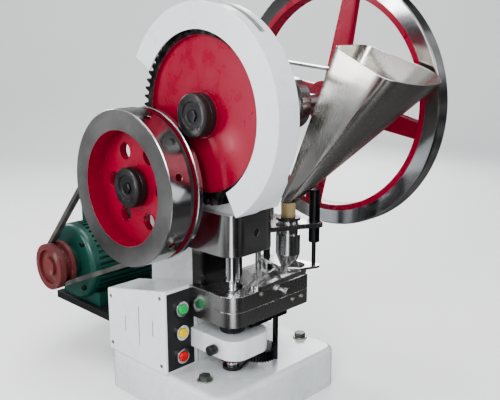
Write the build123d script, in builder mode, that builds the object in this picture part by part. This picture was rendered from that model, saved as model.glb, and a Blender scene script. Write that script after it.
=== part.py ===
"""Bench single-punch tablet press, about 390 mm wide, 720 mm deep and 700 mm high.

The origin is the centre of the base's underside.  +X is the operator's right,
-Y is the operator's side and +Z is up.  The rest pose is the pressing position:
crank down, ram down, feed shoe swung clear of the die.
"""
import os
from math import atan2, cos, degrees, pi, radians, sin, sqrt

from build123d import *

os.makedirs("parts", exist_ok=True)

# ---------------------------------------------------------------- driving dimensions
BASE_W, BASE_D, BASE_H = 280, 284, 70
COLUMN_LEFT, COLUMN_RIGHT = -70, 12
COLUMN_FRONT, COLUMN_REAR = -18, 102
HEAD_LEFT = -78                  # left face of the casting above the head block
BLOCK_LEFT, BLOCK_RIGHT = -93, 10
BLOCK_FRONT = -118               # front of head block, tables and lower arm
NOSE_R = 28                      # rounded front corners of head block, tables and arm
HEAD_BOTTOM, HEAD_TOP = 272, 337
TABLE_BOTTOM, TABLE_SEAM, TABLE_TOP = 159, 184, 209
TABLE_RIGHT = 83
ARM_BOTTOM, ARM_TOP = 104, 136

MODULE = 4
GEAR_TEETH, PINION_TEETH = 64, 13
PINION_Y, PINION_Z = 32, 370
SHAFT_Y = -72
CENTRES = MODULE * (GEAR_TEETH + PINION_TEETH) / 2
SHAFT_Z = PINION_Z + sqrt(CENTRES**2 - (PINION_Y - SHAFT_Y) ** 2)
SHAFT_R, PINION_SHAFT_R = 16, 12.5
GEAR_X, GEAR_W = -106, 22

PUNCH_X, PUNCH_Y = -47, SHAFT_Y
CRANK = 12                       # eccentric throw; the ram's stroke is twice this
STROKE = 2 * CRANK
BALL_Z = 318                     # centre of the connecting rod's ball at rest
RAM_R, RAM_CUP_R = 25, 21
HOLDER_R = 12
DIE_R, DIE_H, PUNCH_R = 19, 22, 6
RUN = 0.05                       # radial clearance of a running fit

PULLEY_R, PULLEY_FRONT, PULLEY_BACK = 120, -177, -118
GROOVE_X, GROOVE_W = -134, 13
BELT_W, BELT_H = 10, 8
BIG_BELT_R, SMALL_BELT_R = 104.5, 34.5
MOTOR_Y, MOTOR_Z, MOTOR_R = 305, 178, 72
MOTOR_LEFT, MOTOR_RIGHT = -104, 62

GUARD_X, GUARD_W, GUARD_R, GUARD_RI, SHEET = -116, 41, 158, 119.5, 2
WHEEL_X, WHEEL_W, WHEEL_R, WHEEL_RI = 183, 27, 214, 180

BOX_LEFT, BOX_RIGHT, BOX_FRONT, BOX_REAR = -140, -71, -18, 136
BOX_TOP_FRONT, BOX_TOP_REAR = 210, 178
BUTTON_X, BUTTON_ZS = -108, (174, 134, 94)

FEED_PIVOT = (78, -30)
SHOE_CUP = (-28.5, -109)
PAN = (74, -93)
BOOT = (65, -90)
PLUNGER = (98, -118)
LIFT_ROD = (46, -40)
SETTING_WHEEL = (PUNCH_X + 38.05, PUNCH_Y - 24.03)
GUIDE_POST = (27, -98)


def yz(x):
    """Plane facing +X at x, whose local x is +Y and local y is +Z."""
    return Plane(origin=(x, 0, 0), x_dir=(0, 1, 0), z_dir=(1, 0, 0))


def toothed(teeth, module, phase):
    """Points of a straight-flanked gear outline; a tooth is centred on the phase angle."""
    pitch_r = module * teeth / 2
    tip, root = pitch_r + module, pitch_r - 1.2 * module
    step = 2 * pi / teeth
    points = []
    for i in range(teeth):
        mid = radians(phase) + i * step
        for radius, part in ((root, -0.32), (tip, -0.11), (tip, 0.11), (root, 0.32)):
            points.append((radius * cos(mid + part * step), radius * sin(mid + part * step)))
    return points


def save(part, name):
    part.label = name
    export_step(part, f"parts/{name}.step")


# ---------------------------------------------------------------- base and column
RIB = 16
POCKET_W, POCKET_D, POCKET_H = 118, 120, 56
BOLT_XS, BOLT_Y = (-108, 120), 73
with BuildPart() as base_casting:
    with BuildSketch(Plane.XY):
        RectangleRounded(BASE_W, BASE_D, 24)
    extrude(amount=BASE_H)
    fillet(base_casting.faces().sort_by(Axis.Z)[-1].edges(), 9)
    with BuildSketch(Plane.XY):
        with GridLocations(POCKET_W + RIB, POCKET_D + RIB, 2, 2):
            RectangleRounded(POCKET_W, POCKET_D, 10)
        for x in BOLT_XS:
            for y in (-BOLT_Y, BOLT_Y):
                with Locations((x, y)):
                    Circle(15, mode=Mode.SUBTRACT)
    extrude(amount=POCKET_H, mode=Mode.SUBTRACT)
    for x in BOLT_XS:
        for y in (-BOLT_Y, BOLT_Y):
            with Locations((x, y, BASE_H)):
                Hole(6.6)
save(base_casting.part, "base_casting")

BOLT_HEAD_R, BOLT_HEAD_H, BOLT_R = 9.5, 9, 6
with BuildPart() as hold_down_bolts:
    for x in BOLT_XS:
        for y in (-BOLT_Y, BOLT_Y):
            with BuildSketch(Plane.XY.offset(BASE_H)):
                with Locations((x, y)):
                    RegularPolygon(BOLT_HEAD_R, 6)
            extrude(amount=BOLT_HEAD_H)
            with BuildSketch(Plane.XY.offset(4)):
                with Locations((x, y)):
                    Circle(BOLT_R)
            extrude(amount=BASE_H - 4)
save(hold_down_bolts.part, "hold_down_bolts")

HOUSING_R, CAVITY_R = 66, 60
CAVITY_LEFT, CAVITY_RIGHT = -62, -32
BOSS_RIGHT, BOSS_R = 40, 56
CASTING_R = 6
HEAD_FRONT = SHAFT_Y - HOUSING_R
with BuildPart() as column_casting:
    with BuildSketch(yz(COLUMN_LEFT)):
        with BuildLine():
            Polyline((COLUMN_FRONT, BASE_H), (COLUMN_REAR, BASE_H), (COLUMN_REAR, HEAD_TOP), (COLUMN_FRONT, HEAD_TOP),
                     close=True)
        make_face()
    extrude(amount=COLUMN_RIGHT - COLUMN_LEFT)
    with BuildSketch(yz(HEAD_LEFT)):
        with BuildLine():
            Polyline((HEAD_FRONT, SHAFT_Z), (HEAD_FRONT, HEAD_TOP + 40), (BLOCK_FRONT, HEAD_TOP), (COLUMN_REAR, HEAD_TOP),
                     (COLUMN_REAR, 440), (SHAFT_Y + 60, SHAFT_Z + HOUSING_R - 8), (SHAFT_Y, SHAFT_Z + HOUSING_R))
            ThreePointArc((SHAFT_Y, SHAFT_Z + HOUSING_R),
                          (SHAFT_Y - HOUSING_R * sin(pi / 4), SHAFT_Z + HOUSING_R * cos(pi / 4)),
                          (HEAD_FRONT, SHAFT_Z))
        make_face()
    extrude(amount=COLUMN_RIGHT - HEAD_LEFT)
    with BuildSketch(yz(COLUMN_RIGHT)):
        with Locations((SHAFT_Y, SHAFT_Z)):
            Circle(BOSS_R)
    extrude(amount=BOSS_RIGHT - COLUMN_RIGHT)
    with BuildSketch(yz(COLUMN_RIGHT)):
        with Locations((PINION_Y, PINION_Z)):
            Circle(32)
    extrude(amount=10)
    outer_faces = column_casting.faces().filter_by(Axis.X).sort_by(SortBy.AREA)[-3:]
    rims = ShapeList([edge for face in outer_faces for edge in face.outer_wire().edges()])
    fillet(rims.filter_by(lambda e: e.center().Z > HEAD_TOP + 1), CASTING_R)
    # eccentric cavity, with the connecting rod's slot and the ram's bore below it
    with BuildSketch(yz(CAVITY_LEFT)):
        with Locations((SHAFT_Y, SHAFT_Z)):
            Circle(CAVITY_R)
        with Locations((SHAFT_Y, (HEAD_TOP + SHAFT_Z) / 2)):
            Rectangle(56, SHAFT_Z - HEAD_TOP)
        with Locations((HEAD_FRONT + 20, 430)):
            Rectangle(60, 76)
    extrude(amount=CAVITY_RIGHT - CAVITY_LEFT, mode=Mode.SUBTRACT)
    with BuildSketch(Plane.XY.offset(HEAD_TOP)):
        with Locations((PUNCH_X, PUNCH_Y)):
            Circle(RAM_R + RUN)
    extrude(amount=36, mode=Mode.SUBTRACT)
    with BuildSketch(yz(HEAD_LEFT)):
        with Locations((SHAFT_Y, SHAFT_Z)):
            Circle(22)
        with Locations((PINION_Y, PINION_Z)):
            Circle(18)
    extrude(amount=BOSS_RIGHT - HEAD_LEFT, mode=Mode.SUBTRACT)
save(column_casting.part, "column_casting")

COVER_T = 4
with BuildPart() as front_cover:
    with BuildSketch(Plane(origin=(PUNCH_X, HEAD_FRONT, 430), x_dir=(1, 0, 0), z_dir=(0, -1, 0))):
        RectangleRounded(52, 98, 6)
    extrude(amount=COVER_T)
save(front_cover.part, "front_cover")

SCREW_R, SCREW_H = 4, 3
with BuildPart() as cap_screws:
    with BuildSketch(Plane(origin=(PUNCH_X, HEAD_FRONT - COVER_T, 430), x_dir=(1, 0, 0), z_dir=(0, -1, 0))):
        with GridLocations(40, 86, 2, 2):
            Circle(SCREW_R)
    extrude(amount=SCREW_H)
    with BuildSketch(Plane(origin=(0, BLOCK_FRONT, 0), x_dir=(1, 0, 0), z_dir=(0, -1, 0))):
        with Locations((-26, 201), (48, 172), (70, 172)):
            Circle(SCREW_R)
    extrude(amount=SCREW_H)
save(cap_screws.part, "cap_screws")

# ---------------------------------------------------------------- head block, tables, lower arm
with BuildPart() as head_block:
    with BuildSketch(Plane.XY.offset(HEAD_BOTTOM)):
        with Locations(((BLOCK_LEFT + BLOCK_RIGHT) / 2, (BLOCK_FRONT + COLUMN_FRONT) / 2)):
            Rectangle(BLOCK_RIGHT - BLOCK_LEFT, COLUMN_FRONT - BLOCK_FRONT)
    extrude(amount=HEAD_TOP - HEAD_BOTTOM)
    fillet(head_block.edges().filter_by(Axis.Z).group_by(Axis.Y)[0], NOSE_R)
    with BuildSketch(Plane.XY.offset(TABLE_TOP)):
        with Locations(((-82 + BLOCK_RIGHT) / 2, COLUMN_FRONT - 10)):
            Rectangle(BLOCK_RIGHT + 82, 20)
    extrude(amount=HEAD_BOTTOM - TABLE_TOP)
    with BuildSketch(Plane.XY.offset(HEAD_BOTTOM)):
        with Locations((PUNCH_X, PUNCH_Y)):
            Circle(RAM_R + RUN)
    extrude(amount=HEAD_TOP - HEAD_BOTTOM, mode=Mode.SUBTRACT)
    with BuildSketch(Plane(origin=(-39, BLOCK_FRONT, 304), x_dir=(1, 0, 0), z_dir=(0, -1, 0))):
        Circle(5.5)
    extrude(amount=-12, mode=Mode.SUBTRACT)
    chamfer(head_block.faces().filter_by(Plane.XY).sort_by(Axis.Z)[-2].outer_wire().edges().group_by(Axis.Y)[0], 0.8)
save(head_block.part, "head_block")

TABLE_LEFT = -90


def table_plan():
    """Plan of the table: a rectangle with a large round front left corner."""
    width = TABLE_RIGHT - TABLE_LEFT
    with Locations(((TABLE_RIGHT + TABLE_LEFT) / 2, (BLOCK_FRONT + COLUMN_FRONT) / 2)):
        Rectangle(width, COLUMN_FRONT - BLOCK_FRONT)


with BuildPart() as upper_table:
    with BuildSketch(Plane.XY.offset(TABLE_SEAM)) as sk:
        table_plan()
        fillet(sk.vertices().sort_by(Axis.X)[:2].sort_by(Axis.Y)[0], NOSE_R)
        with Locations((PUNCH_X, PUNCH_Y)):
            Circle(12, mode=Mode.SUBTRACT)
        with Locations(LIFT_ROD):
            Circle(6, mode=Mode.SUBTRACT)
    extrude(amount=TABLE_TOP - TABLE_SEAM)
    with BuildSketch(Plane.XY.offset(TABLE_TOP)):
        with Locations((PUNCH_X, PUNCH_Y)):
            Circle(DIE_R)
    extrude(amount=-DIE_H, mode=Mode.SUBTRACT)
    chamfer(upper_table.faces().sort_by(Axis.Z)[-1].outer_wire().edges(), 0.8)
save(upper_table.part, "upper_table")

with BuildPart() as lower_table:
    with BuildSketch(Plane.XY.offset(TABLE_BOTTOM)) as sk:
        table_plan()
        fillet(sk.vertices().sort_by(Axis.X)[:2].sort_by(Axis.Y)[0], NOSE_R)
        with Locations((PUNCH_X, PUNCH_Y)):
            Circle(12, mode=Mode.SUBTRACT)
        with Locations(LIFT_ROD):
            Circle(6, mode=Mode.SUBTRACT)
    extrude(amount=TABLE_SEAM - TABLE_BOTTOM)
    chamfer(lower_table.faces().sort_by(Axis.Z)[-1].outer_wire().edges(), 0.8)
save(lower_table.part, "lower_table")

with BuildPart() as die:
    with BuildSketch(Plane.XY.offset(TABLE_TOP - DIE_H)):
        with Locations((PUNCH_X, PUNCH_Y)):
            Circle(DIE_R)
            Circle(PUNCH_R + RUN, mode=Mode.SUBTRACT)
    extrude(amount=DIE_H)
save(die.part, "die")

with BuildPart() as die_lock_screw:
    lock_plane = Plane(origin=(20, BLOCK_FRONT, 197), x_dir=(1, 0, 0), z_dir=(0, -1, 0))
    with BuildSketch(lock_plane):
        Circle(3.5)
    extrude(amount=14)
    with BuildSketch(lock_plane.offset(5)):
        Circle(6)
    extrude(amount=9)
save(die_lock_screw.part, "die_lock_screw")

with BuildPart() as guide_post:
    with BuildSketch(Plane.XY.offset(BASE_H)):
        with Locations(GUIDE_POST):
            Circle(4.5)
    extrude(amount=TABLE_BOTTOM - BASE_H)
save(guide_post.part, "guide_post")

ARM_LEFT, ARM_RIGHT = -88, 2
ROD_R = 11
with BuildPart() as lower_arm:
    with BuildSketch(Plane.XY.offset(ARM_BOTTOM)) as sk:
        with Locations(((ARM_LEFT + ARM_RIGHT) / 2, (BLOCK_FRONT + COLUMN_FRONT) / 2)):
            Rectangle(ARM_RIGHT - ARM_LEFT, COLUMN_FRONT - BLOCK_FRONT)
        fillet(sk.vertices().sort_by(Axis.Y)[:2], NOSE_R)
        with Locations((PUNCH_X, PUNCH_Y)):
            Circle(ROD_R + RUN, mode=Mode.SUBTRACT)
    extrude(amount=ARM_TOP - ARM_BOTTOM)
    fillet(lower_arm.faces().sort_by(Axis.Z)[-1].outer_wire().edges().filter_by(GeomType.LINE, reverse=True), 2)
save(lower_arm.part, "lower_arm")

KNOB_Z = 119
with BuildPart() as lock_knob:
    with BuildSketch(yz(ARM_LEFT - 16)):
        with Locations((PUNCH_Y - 6, KNOB_Z)):
            RegularPolygon(8, 12)
    extrude(amount=12)
    fillet(lock_knob.faces().sort_by(Axis.X)[0].edges(), 1.5)
    with BuildSketch(yz(ARM_LEFT - 4)):
        with Locations((PUNCH_Y - 6, KNOB_Z)):
            Circle(4)
    extrude(amount=3.7)
save(lock_knob.part, "lock_knob")

FILL_R = 19.5
with BuildPart() as fill_ring:
    with BuildSketch(Plane.XY.offset(ARM_TOP + 0.5)):
        with Locations((PUNCH_X, PUNCH_Y)):
            Circle(FILL_R)
            with PolarLocations(FILL_R, 36):
                Circle(0.8, mode=Mode.SUBTRACT)
            Circle(ROD_R + 0.5, mode=Mode.SUBTRACT)
    extrude(amount=TABLE_BOTTOM - ARM_TOP - 1)
save(fill_ring.part, "fill_ring")

RING_TEETH, WHEEL_TEETH, RING_MODULE = 25, 35, 1.5
mesh_angle = degrees(atan2(SETTING_WHEEL[1] - PUNCH_Y, SETTING_WHEEL[0] - PUNCH_X))
with BuildPart() as ejection_gear:
    with BuildSketch(Plane(origin=(PUNCH_X, PUNCH_Y, 86))):
        with BuildLine():
            Polyline(*toothed(RING_TEETH, RING_MODULE, mesh_angle), close=True)
        make_face()
        Circle(ROD_R + 0.5, mode=Mode.SUBTRACT)
    extrude(amount=17.5)
save(ejection_gear.part, "ejection_gear")

with BuildPart() as ejection_wheel:
    with BuildSketch(Plane(origin=(*SETTING_WHEEL, 86))):
        with BuildLine():
            Polyline(*toothed(WHEEL_TEETH, RING_MODULE, mesh_angle + 180 + 180 / WHEEL_TEETH), close=True)
        make_face()
        Circle(5 + RUN, mode=Mode.SUBTRACT)
    extrude(amount=17.5)
save(ejection_wheel.part, "ejection_wheel")

with BuildPart() as wheel_spindle:
    with BuildSketch(Plane.XY.offset(82)):
        with Locations(SETTING_WHEEL):
            Circle(5)
    extrude(amount=ARM_BOTTOM - 82)
    with BuildSketch(Plane.XY.offset(80)):
        with Locations(SETTING_WHEEL):
            Circle(9)
    extrude(amount=5.5)
save(wheel_spindle.part, "wheel_spindle")

# ---------------------------------------------------------------- lower punch and its lift
TABLET = 6
LIFT = 9
LOWER_TIP = TABLE_TOP - LIFT
YOKE_Z, YOKE_T = 71.5, 5
with BuildPart() as lower_punch:
    with BuildSketch(Plane.XY.offset(150)):
        with Locations((PUNCH_X, PUNCH_Y)):
            Circle(PUNCH_R)
    extrude(amount=LOWER_TIP - 150)
save(lower_punch.part, "lower_punch")

with BuildPart() as lower_punch_rod:
    with BuildSketch(Plane.XY.offset(YOKE_Z)):
        with Locations((PUNCH_X, PUNCH_Y)):
            Circle(ROD_R)
    extrude(amount=162 - YOKE_Z)
    with BuildSketch(Plane.XY.offset(150)):
        with Locations((PUNCH_X, PUNCH_Y)):
            Circle(PUNCH_R)
    extrude(amount=12, mode=Mode.SUBTRACT)
save(lower_punch_rod.part, "lower_punch_rod")

FORK_Z, FORK_H = 139, 9
with BuildPart() as lift_forks:
    with BuildSketch(Plane.XY.offset(FORK_Z)):
        with Locations((17, -62)):
            Rectangle(84, 66)
        with Locations(GUIDE_POST):
            Circle(6.5, mode=Mode.SUBTRACT)
        with Locations((PUNCH_X, PUNCH_Y)):
            Circle(FILL_R + 0.6, mode=Mode.SUBTRACT)
        with Locations(LIFT_ROD):
            Circle(5, mode=Mode.SUBTRACT)
    extrude(amount=FORK_H)
    with BuildSketch(Plane.XY.offset(YOKE_Z)):
        with Locations((PUNCH_X, PUNCH_Y)):
            Circle(16)
        with Locations(LIFT_ROD):
            Circle(9)
        make_hull()
        with Locations((PUNCH_X, PUNCH_Y)):
            Circle(ROD_R, mode=Mode.SUBTRACT)
        with Locations(LIFT_ROD):
            Circle(5, mode=Mode.SUBTRACT)
    extrude(amount=YOKE_T)
save(lift_forks.part, "lift_forks")

CAM_R, CAM_X, CAM_W, CAM_LOBE = 34, 44, 16, 6
ROLLER_Z = SHAFT_Z - CAM_R - CAM_LOBE - LIFT - 9
with BuildPart() as lift_rod:
    with BuildSketch(Plane.XY.offset(YOKE_Z)):
        with Locations(LIFT_ROD):
            Circle(5)
    extrude(amount=ROLLER_Z - YOKE_Z)
    with BuildSketch(yz(LIFT_ROD[0] - 5)):
        with Locations(((LIFT_ROD[1] + SHAFT_Y) / 2, ROLLER_Z)):
            SlotOverall(abs(LIFT_ROD[1] - SHAFT_Y) + 16, 16)
    extrude(amount=10)
save(lift_rod.part, "lift_rod")

# ---------------------------------------------------------------- main shaft group
with BuildPart() as main_shaft:
    with BuildSketch(yz(GEAR_X - 14)):
        with Locations((SHAFT_Y, SHAFT_Z)):
            Circle(SHAFT_R)
    extrude(amount=WHEEL_X + 34 - GEAR_X + 14)
save(main_shaft.part, "main_shaft")

with BuildPart() as bearing_bushes:
    for x0, x1 in ((HEAD_LEFT, CAVITY_LEFT), (CAVITY_RIGHT, BOSS_RIGHT)):
        with BuildSketch(yz(x0)):
            with Locations((SHAFT_Y, SHAFT_Z)):
                Circle(22)
                Circle(SHAFT_R + RUN, mode=Mode.SUBTRACT)
        extrude(amount=x1 - x0)
    for x0, x1 in ((HEAD_LEFT, HEAD_LEFT + 30), (COLUMN_RIGHT - 20, COLUMN_RIGHT + 10)):
        with BuildSketch(yz(x0)):
            with Locations((PINION_Y, PINION_Z)):
                Circle(18)
                Circle(PINION_SHAFT_R + RUN, mode=Mode.SUBTRACT)
        extrude(amount=x1 - x0)
save(bearing_bushes.part, "bearing_bushes")

GEAR_AXIS = Plane(origin=(GEAR_X, SHAFT_Y, SHAFT_Z), x_dir=(0, 1, 0), z_dir=(1, 0, 0))
gear_to_pinion = degrees(atan2(PINION_Z - SHAFT_Z, PINION_Y - SHAFT_Y))
WEB_R, WEB_IN, HUB_R = 112, 6, 34
with BuildPart() as big_gear:
    with BuildSketch(GEAR_AXIS):
        with BuildLine():
            Polyline(*toothed(GEAR_TEETH, MODULE, gear_to_pinion), close=True)
        make_face()
    extrude(amount=GEAR_W)
    for plane, depth in ((GEAR_AXIS, WEB_IN), (GEAR_AXIS.offset(GEAR_W - WEB_IN), WEB_IN)):
        with BuildSketch(plane):
            Circle(WEB_R)
            Circle(HUB_R, mode=Mode.SUBTRACT)
        extrude(amount=depth, mode=Mode.SUBTRACT)
    with BuildSketch(GEAR_AXIS):
        Circle(SHAFT_R)
    extrude(amount=GEAR_W, mode=Mode.SUBTRACT)
save(big_gear.part, "big_gear")

with BuildPart() as gear_nut:
    with BuildSketch(GEAR_AXIS.offset(-20)):
        Circle(32)
    extrude(amount=20)
    chamfer(gear_nut.faces().sort_by(Axis.X)[0].edges(), 3)
    with BuildSketch(GEAR_AXIS.offset(-14)):
        Circle(SHAFT_R)
    extrude(amount=14, mode=Mode.SUBTRACT)
save(gear_nut.part, "gear_nut")

ECC_R, STRAP_R = 32, 44
ECC_X = PUNCH_X - 11
with BuildPart() as eccentric:
    with BuildSketch(yz(ECC_X)):
        with Locations((SHAFT_Y, SHAFT_Z - CRANK)):
            Circle(ECC_R)
        with Locations((SHAFT_Y, SHAFT_Z)):
            Circle(SHAFT_R, mode=Mode.SUBTRACT)
    extrude(amount=22)
save(eccentric.part, "eccentric")

NECK_Z = 396
with BuildPart() as eccentric_strap:
    with BuildSketch(yz(ECC_X)):
        with Locations((SHAFT_Y, SHAFT_Z - CRANK)):
            Circle(STRAP_R)
        with Locations((SHAFT_Y, (NECK_Z + SHAFT_Z - CRANK) / 2)):
            Rectangle(28, SHAFT_Z - CRANK - NECK_Z)
        with Locations((SHAFT_Y, SHAFT_Z - CRANK)):
            Circle(ECC_R + RUN, mode=Mode.SUBTRACT)
    extrude(amount=22)
save(eccentric_strap.part, "eccentric_strap")

BALL_R, CONROD_R = 8, 7
with BuildPart() as connecting_rod:
    with BuildSketch(Plane.XY.offset(BALL_Z)):
        with Locations((PUNCH_X, PUNCH_Y)):
            Circle(CONROD_R - 2)
    extrude(amount=18)
    with BuildSketch(Plane.XY.offset(BALL_Z + 18)):
        with Locations((PUNCH_X, PUNCH_Y)):
            Circle(CONROD_R)
    extrude(amount=NECK_Z - BALL_Z - 18)
    with BuildSketch(Plane.XY.offset(NECK_Z - 9)):
        with Locations((PUNCH_X, PUNCH_Y)):
            RegularPolygon(12, 6)
    extrude(amount=9)
    with Locations((PUNCH_X, PUNCH_Y, BALL_Z)):
        Sphere(BALL_R)
save(connecting_rod.part, "connecting_rod")

RAM_BOTTOM, RAM_TOP = 276, 346
CUP_FLOOR = BALL_Z - BALL_R - STROKE - 1
HOLDER_BOTTOM = 218
with BuildPart() as ram:
    with BuildSketch(Plane.XY.offset(RAM_BOTTOM)):
        with Locations((PUNCH_X, PUNCH_Y)):
            Circle(RAM_R)
    extrude(amount=RAM_TOP - RAM_BOTTOM)
    with BuildSketch(Plane.XY.offset(CUP_FLOOR)):
        with Locations((PUNCH_X, PUNCH_Y)):
            Circle(RAM_CUP_R)
    extrude(amount=RAM_TOP - CUP_FLOOR, mode=Mode.SUBTRACT)
save(ram.part, "ram")

with BuildPart() as punch_holder:
    with BuildSketch(Plane.XY.offset(HOLDER_BOTTOM)):
        with Locations((PUNCH_X, PUNCH_Y)):
            Circle(HOLDER_R)
    extrude(amount=RAM_BOTTOM - HOLDER_BOTTOM)
    chamfer(punch_holder.faces().sort_by(Axis.Z)[0].edges(), 1.5)
save(punch_holder.part, "punch_holder")

with BuildPart() as upper_punch:
    with BuildSketch(Plane.XY.offset(LOWER_TIP + TABLET)):
        with Locations((PUNCH_X, PUNCH_Y)):
            Circle(PUNCH_R)
    extrude(amount=HOLDER_BOTTOM - LOWER_TIP - TABLET)
save(upper_punch.part, "upper_punch")

FEED_CAM_X, FEED_CAM_W, FEED_CAM_R, FEED_CAM_LOBE = 74, 20, 38, 8
with BuildPart() as cam_drum:
    for x0, width, radius, lobe in ((CAM_X, CAM_W, CAM_R, CAM_LOBE), (FEED_CAM_X, FEED_CAM_W, FEED_CAM_R, FEED_CAM_LOBE),
                                    (CAM_X, FEED_CAM_X + FEED_CAM_W - CAM_X, CAM_R - 6, 0)):
        with BuildSketch(yz(x0)):
            with Locations((SHAFT_Y, SHAFT_Z)):
                Circle(radius)
            with Locations((SHAFT_Y, SHAFT_Z + lobe)):
                Circle(radius)
        extrude(amount=width)
    with BuildSketch(yz(CAM_X)):
        with Locations((SHAFT_Y, SHAFT_Z)):
            Circle(SHAFT_R)
    extrude(amount=FEED_CAM_X + FEED_CAM_W - CAM_X, mode=Mode.SUBTRACT)
save(cam_drum.part, "cam_drum")

SPOKES, SPOKE_TURN, SPOKE_HUB_W, SPOKE_RIM_W = 4, 101.5, 42, 28
WHEEL_HUB_R, SPOKE_T, SPOKE_EDGE_R = 36, 15, 4
with BuildPart() as handwheel:
    wheel_plane = Plane(origin=(WHEEL_X, SHAFT_Y, SHAFT_Z), x_dir=(0, 1, 0), z_dir=(1, 0, 0))
    with BuildSketch(wheel_plane.offset(6)):
        with PolarLocations(0, SPOKES, SPOKE_TURN):
            Polygon((28, -SPOKE_HUB_W / 2), (WHEEL_RI + 6, -SPOKE_RIM_W / 2), (WHEEL_RI + 6, SPOKE_RIM_W / 2),
                    (28, SPOKE_HUB_W / 2), align=None)
    extrude(amount=SPOKE_T)
    fillet(handwheel.edges().filter_by(lambda e: e.length > 100), SPOKE_EDGE_R)
    with BuildSketch(wheel_plane):
        Circle(WHEEL_R)
        Circle(WHEEL_RI, mode=Mode.SUBTRACT)
    extrude(amount=WHEEL_W)
    with BuildSketch(wheel_plane.offset(-12)):
        Circle(WHEEL_HUB_R)
    extrude(amount=40)
    with BuildSketch(wheel_plane.offset(-12)):
        Circle(SHAFT_R)
    extrude(amount=40, mode=Mode.SUBTRACT)
    chamfer(handwheel.edges().filter_by(GeomType.CIRCLE).filter_by(lambda e: abs(e.radius - WHEEL_R) < 0.1), 2)
save(handwheel.part, "handwheel")

with BuildPart() as handwheel_nut:
    with BuildSketch(yz(WHEEL_X + 28)):
        with Locations((SHAFT_Y, SHAFT_Z)):
            RegularPolygon(24, 6)
            Circle(SHAFT_R, mode=Mode.SUBTRACT)
    extrude(amount=8)
save(handwheel_nut.part, "handwheel_nut")

# ---------------------------------------------------------------- pinion shaft and belt pulley
PULLEY_AXIS = Plane(origin=(PULLEY_FRONT, PINION_Y, PINION_Z), x_dir=(0, 1, 0), z_dir=(1, 0, 0))
with BuildPart() as pinion_shaft:
    with BuildSketch(yz(-152)):
        with Locations((PINION_Y, PINION_Z)):
            Circle(PINION_SHAFT_R)
    extrude(amount=152 + COLUMN_RIGHT + 16)
save(pinion_shaft.part, "pinion_shaft")

with BuildPart() as pinion:
    with BuildSketch(Plane(origin=(GEAR_X - 3, PINION_Y, PINION_Z), x_dir=(0, 1, 0), z_dir=(1, 0, 0))):
        with BuildLine():
            Polyline(*toothed(PINION_TEETH, MODULE, gear_to_pinion + 180 + 180 / PINION_TEETH), close=True)
        make_face()
        Circle(PINION_SHAFT_R, mode=Mode.SUBTRACT)
    extrude(amount=GEAR_W + 5)
save(pinion.part, "pinion")

RECESS_R, RECESS_D, WEB_T = 88, 30, 12
WEB_HOLES, WEB_HOLE_R, WEB_HOLE_PITCH = 6, 13, 58
RIM_HOLES, RIM_HOLE_R = 7, 5.5
with BuildPart() as pulley:
    with BuildSketch(PULLEY_AXIS):
        Circle(PULLEY_R)
    extrude(amount=PULLEY_BACK - PULLEY_FRONT)
    with BuildSketch(PULLEY_AXIS.offset(GROOVE_X - GROOVE_W / 2 - PULLEY_FRONT)):
        Circle(PULLEY_R + 1)
        Circle(BIG_BELT_R - 0.5, mode=Mode.SUBTRACT)
    extrude(amount=GROOVE_W, mode=Mode.SUBTRACT)
    for start, depth in ((0, RECESS_D), (RECESS_D + WEB_T, PULLEY_BACK - PULLEY_FRONT - RECESS_D - WEB_T)):
        with BuildSketch(PULLEY_AXIS.offset(start)):
            Circle(RECESS_R)
            Circle(26, mode=Mode.SUBTRACT)
        extrude(amount=depth, mode=Mode.SUBTRACT)
    with BuildSketch(PULLEY_AXIS):
        Circle(27)
    extrude(amount=RECESS_D - 5, mode=Mode.SUBTRACT)
    with BuildSketch(PULLEY_AXIS):
        Circle(PINION_SHAFT_R)
    extrude(amount=PULLEY_BACK - PULLEY_FRONT, mode=Mode.SUBTRACT)
    with BuildSketch(PULLEY_AXIS):
        with PolarLocations(WEB_HOLE_PITCH, WEB_HOLES, 62):
            Circle(WEB_HOLE_R)
    extrude(amount=PULLEY_BACK - PULLEY_FRONT, mode=Mode.SUBTRACT)
    for i in range(RIM_HOLES):
        turn = radians(113.5 + i * 360 / RIM_HOLES)
        spot = Vector(PULLEY_FRONT + 17, PINION_Y + PULLEY_R * cos(turn), PINION_Z + PULLEY_R * sin(turn))
        inward = Vector(0, -cos(turn), -sin(turn))
        with BuildSketch(Plane(origin=spot, x_dir=(1, 0, 0), z_dir=inward)):
            Circle(RIM_HOLE_R)
        extrude(amount=16, mode=Mode.SUBTRACT)
    rim_edges = pulley.edges().filter_by(GeomType.CIRCLE)
    chamfer(rim_edges.filter_by(lambda e: abs(e.radius - PULLEY_R) < 0.1 and e.length > 700), 1.2)
save(pulley.part, "pulley")

with BuildPart() as pulley_cap:
    with BuildSketch(PULLEY_AXIS.offset(9)):
        Circle(31)
    extrude(amount=RECESS_D - 14)
    chamfer(pulley_cap.faces().sort_by(Axis.X)[0].edges(), 2.5)
save(pulley_cap.part, "pulley_cap")

# ---------------------------------------------------------------- motor and belt
with BuildPart() as motor_shaft:
    with BuildSketch(yz(-150)):
        with Locations((MOTOR_Y, MOTOR_Z)):
            Circle(9.5)
    extrude(amount=150 + MOTOR_RIGHT + 40)
save(motor_shaft.part, "motor_shaft")

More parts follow.
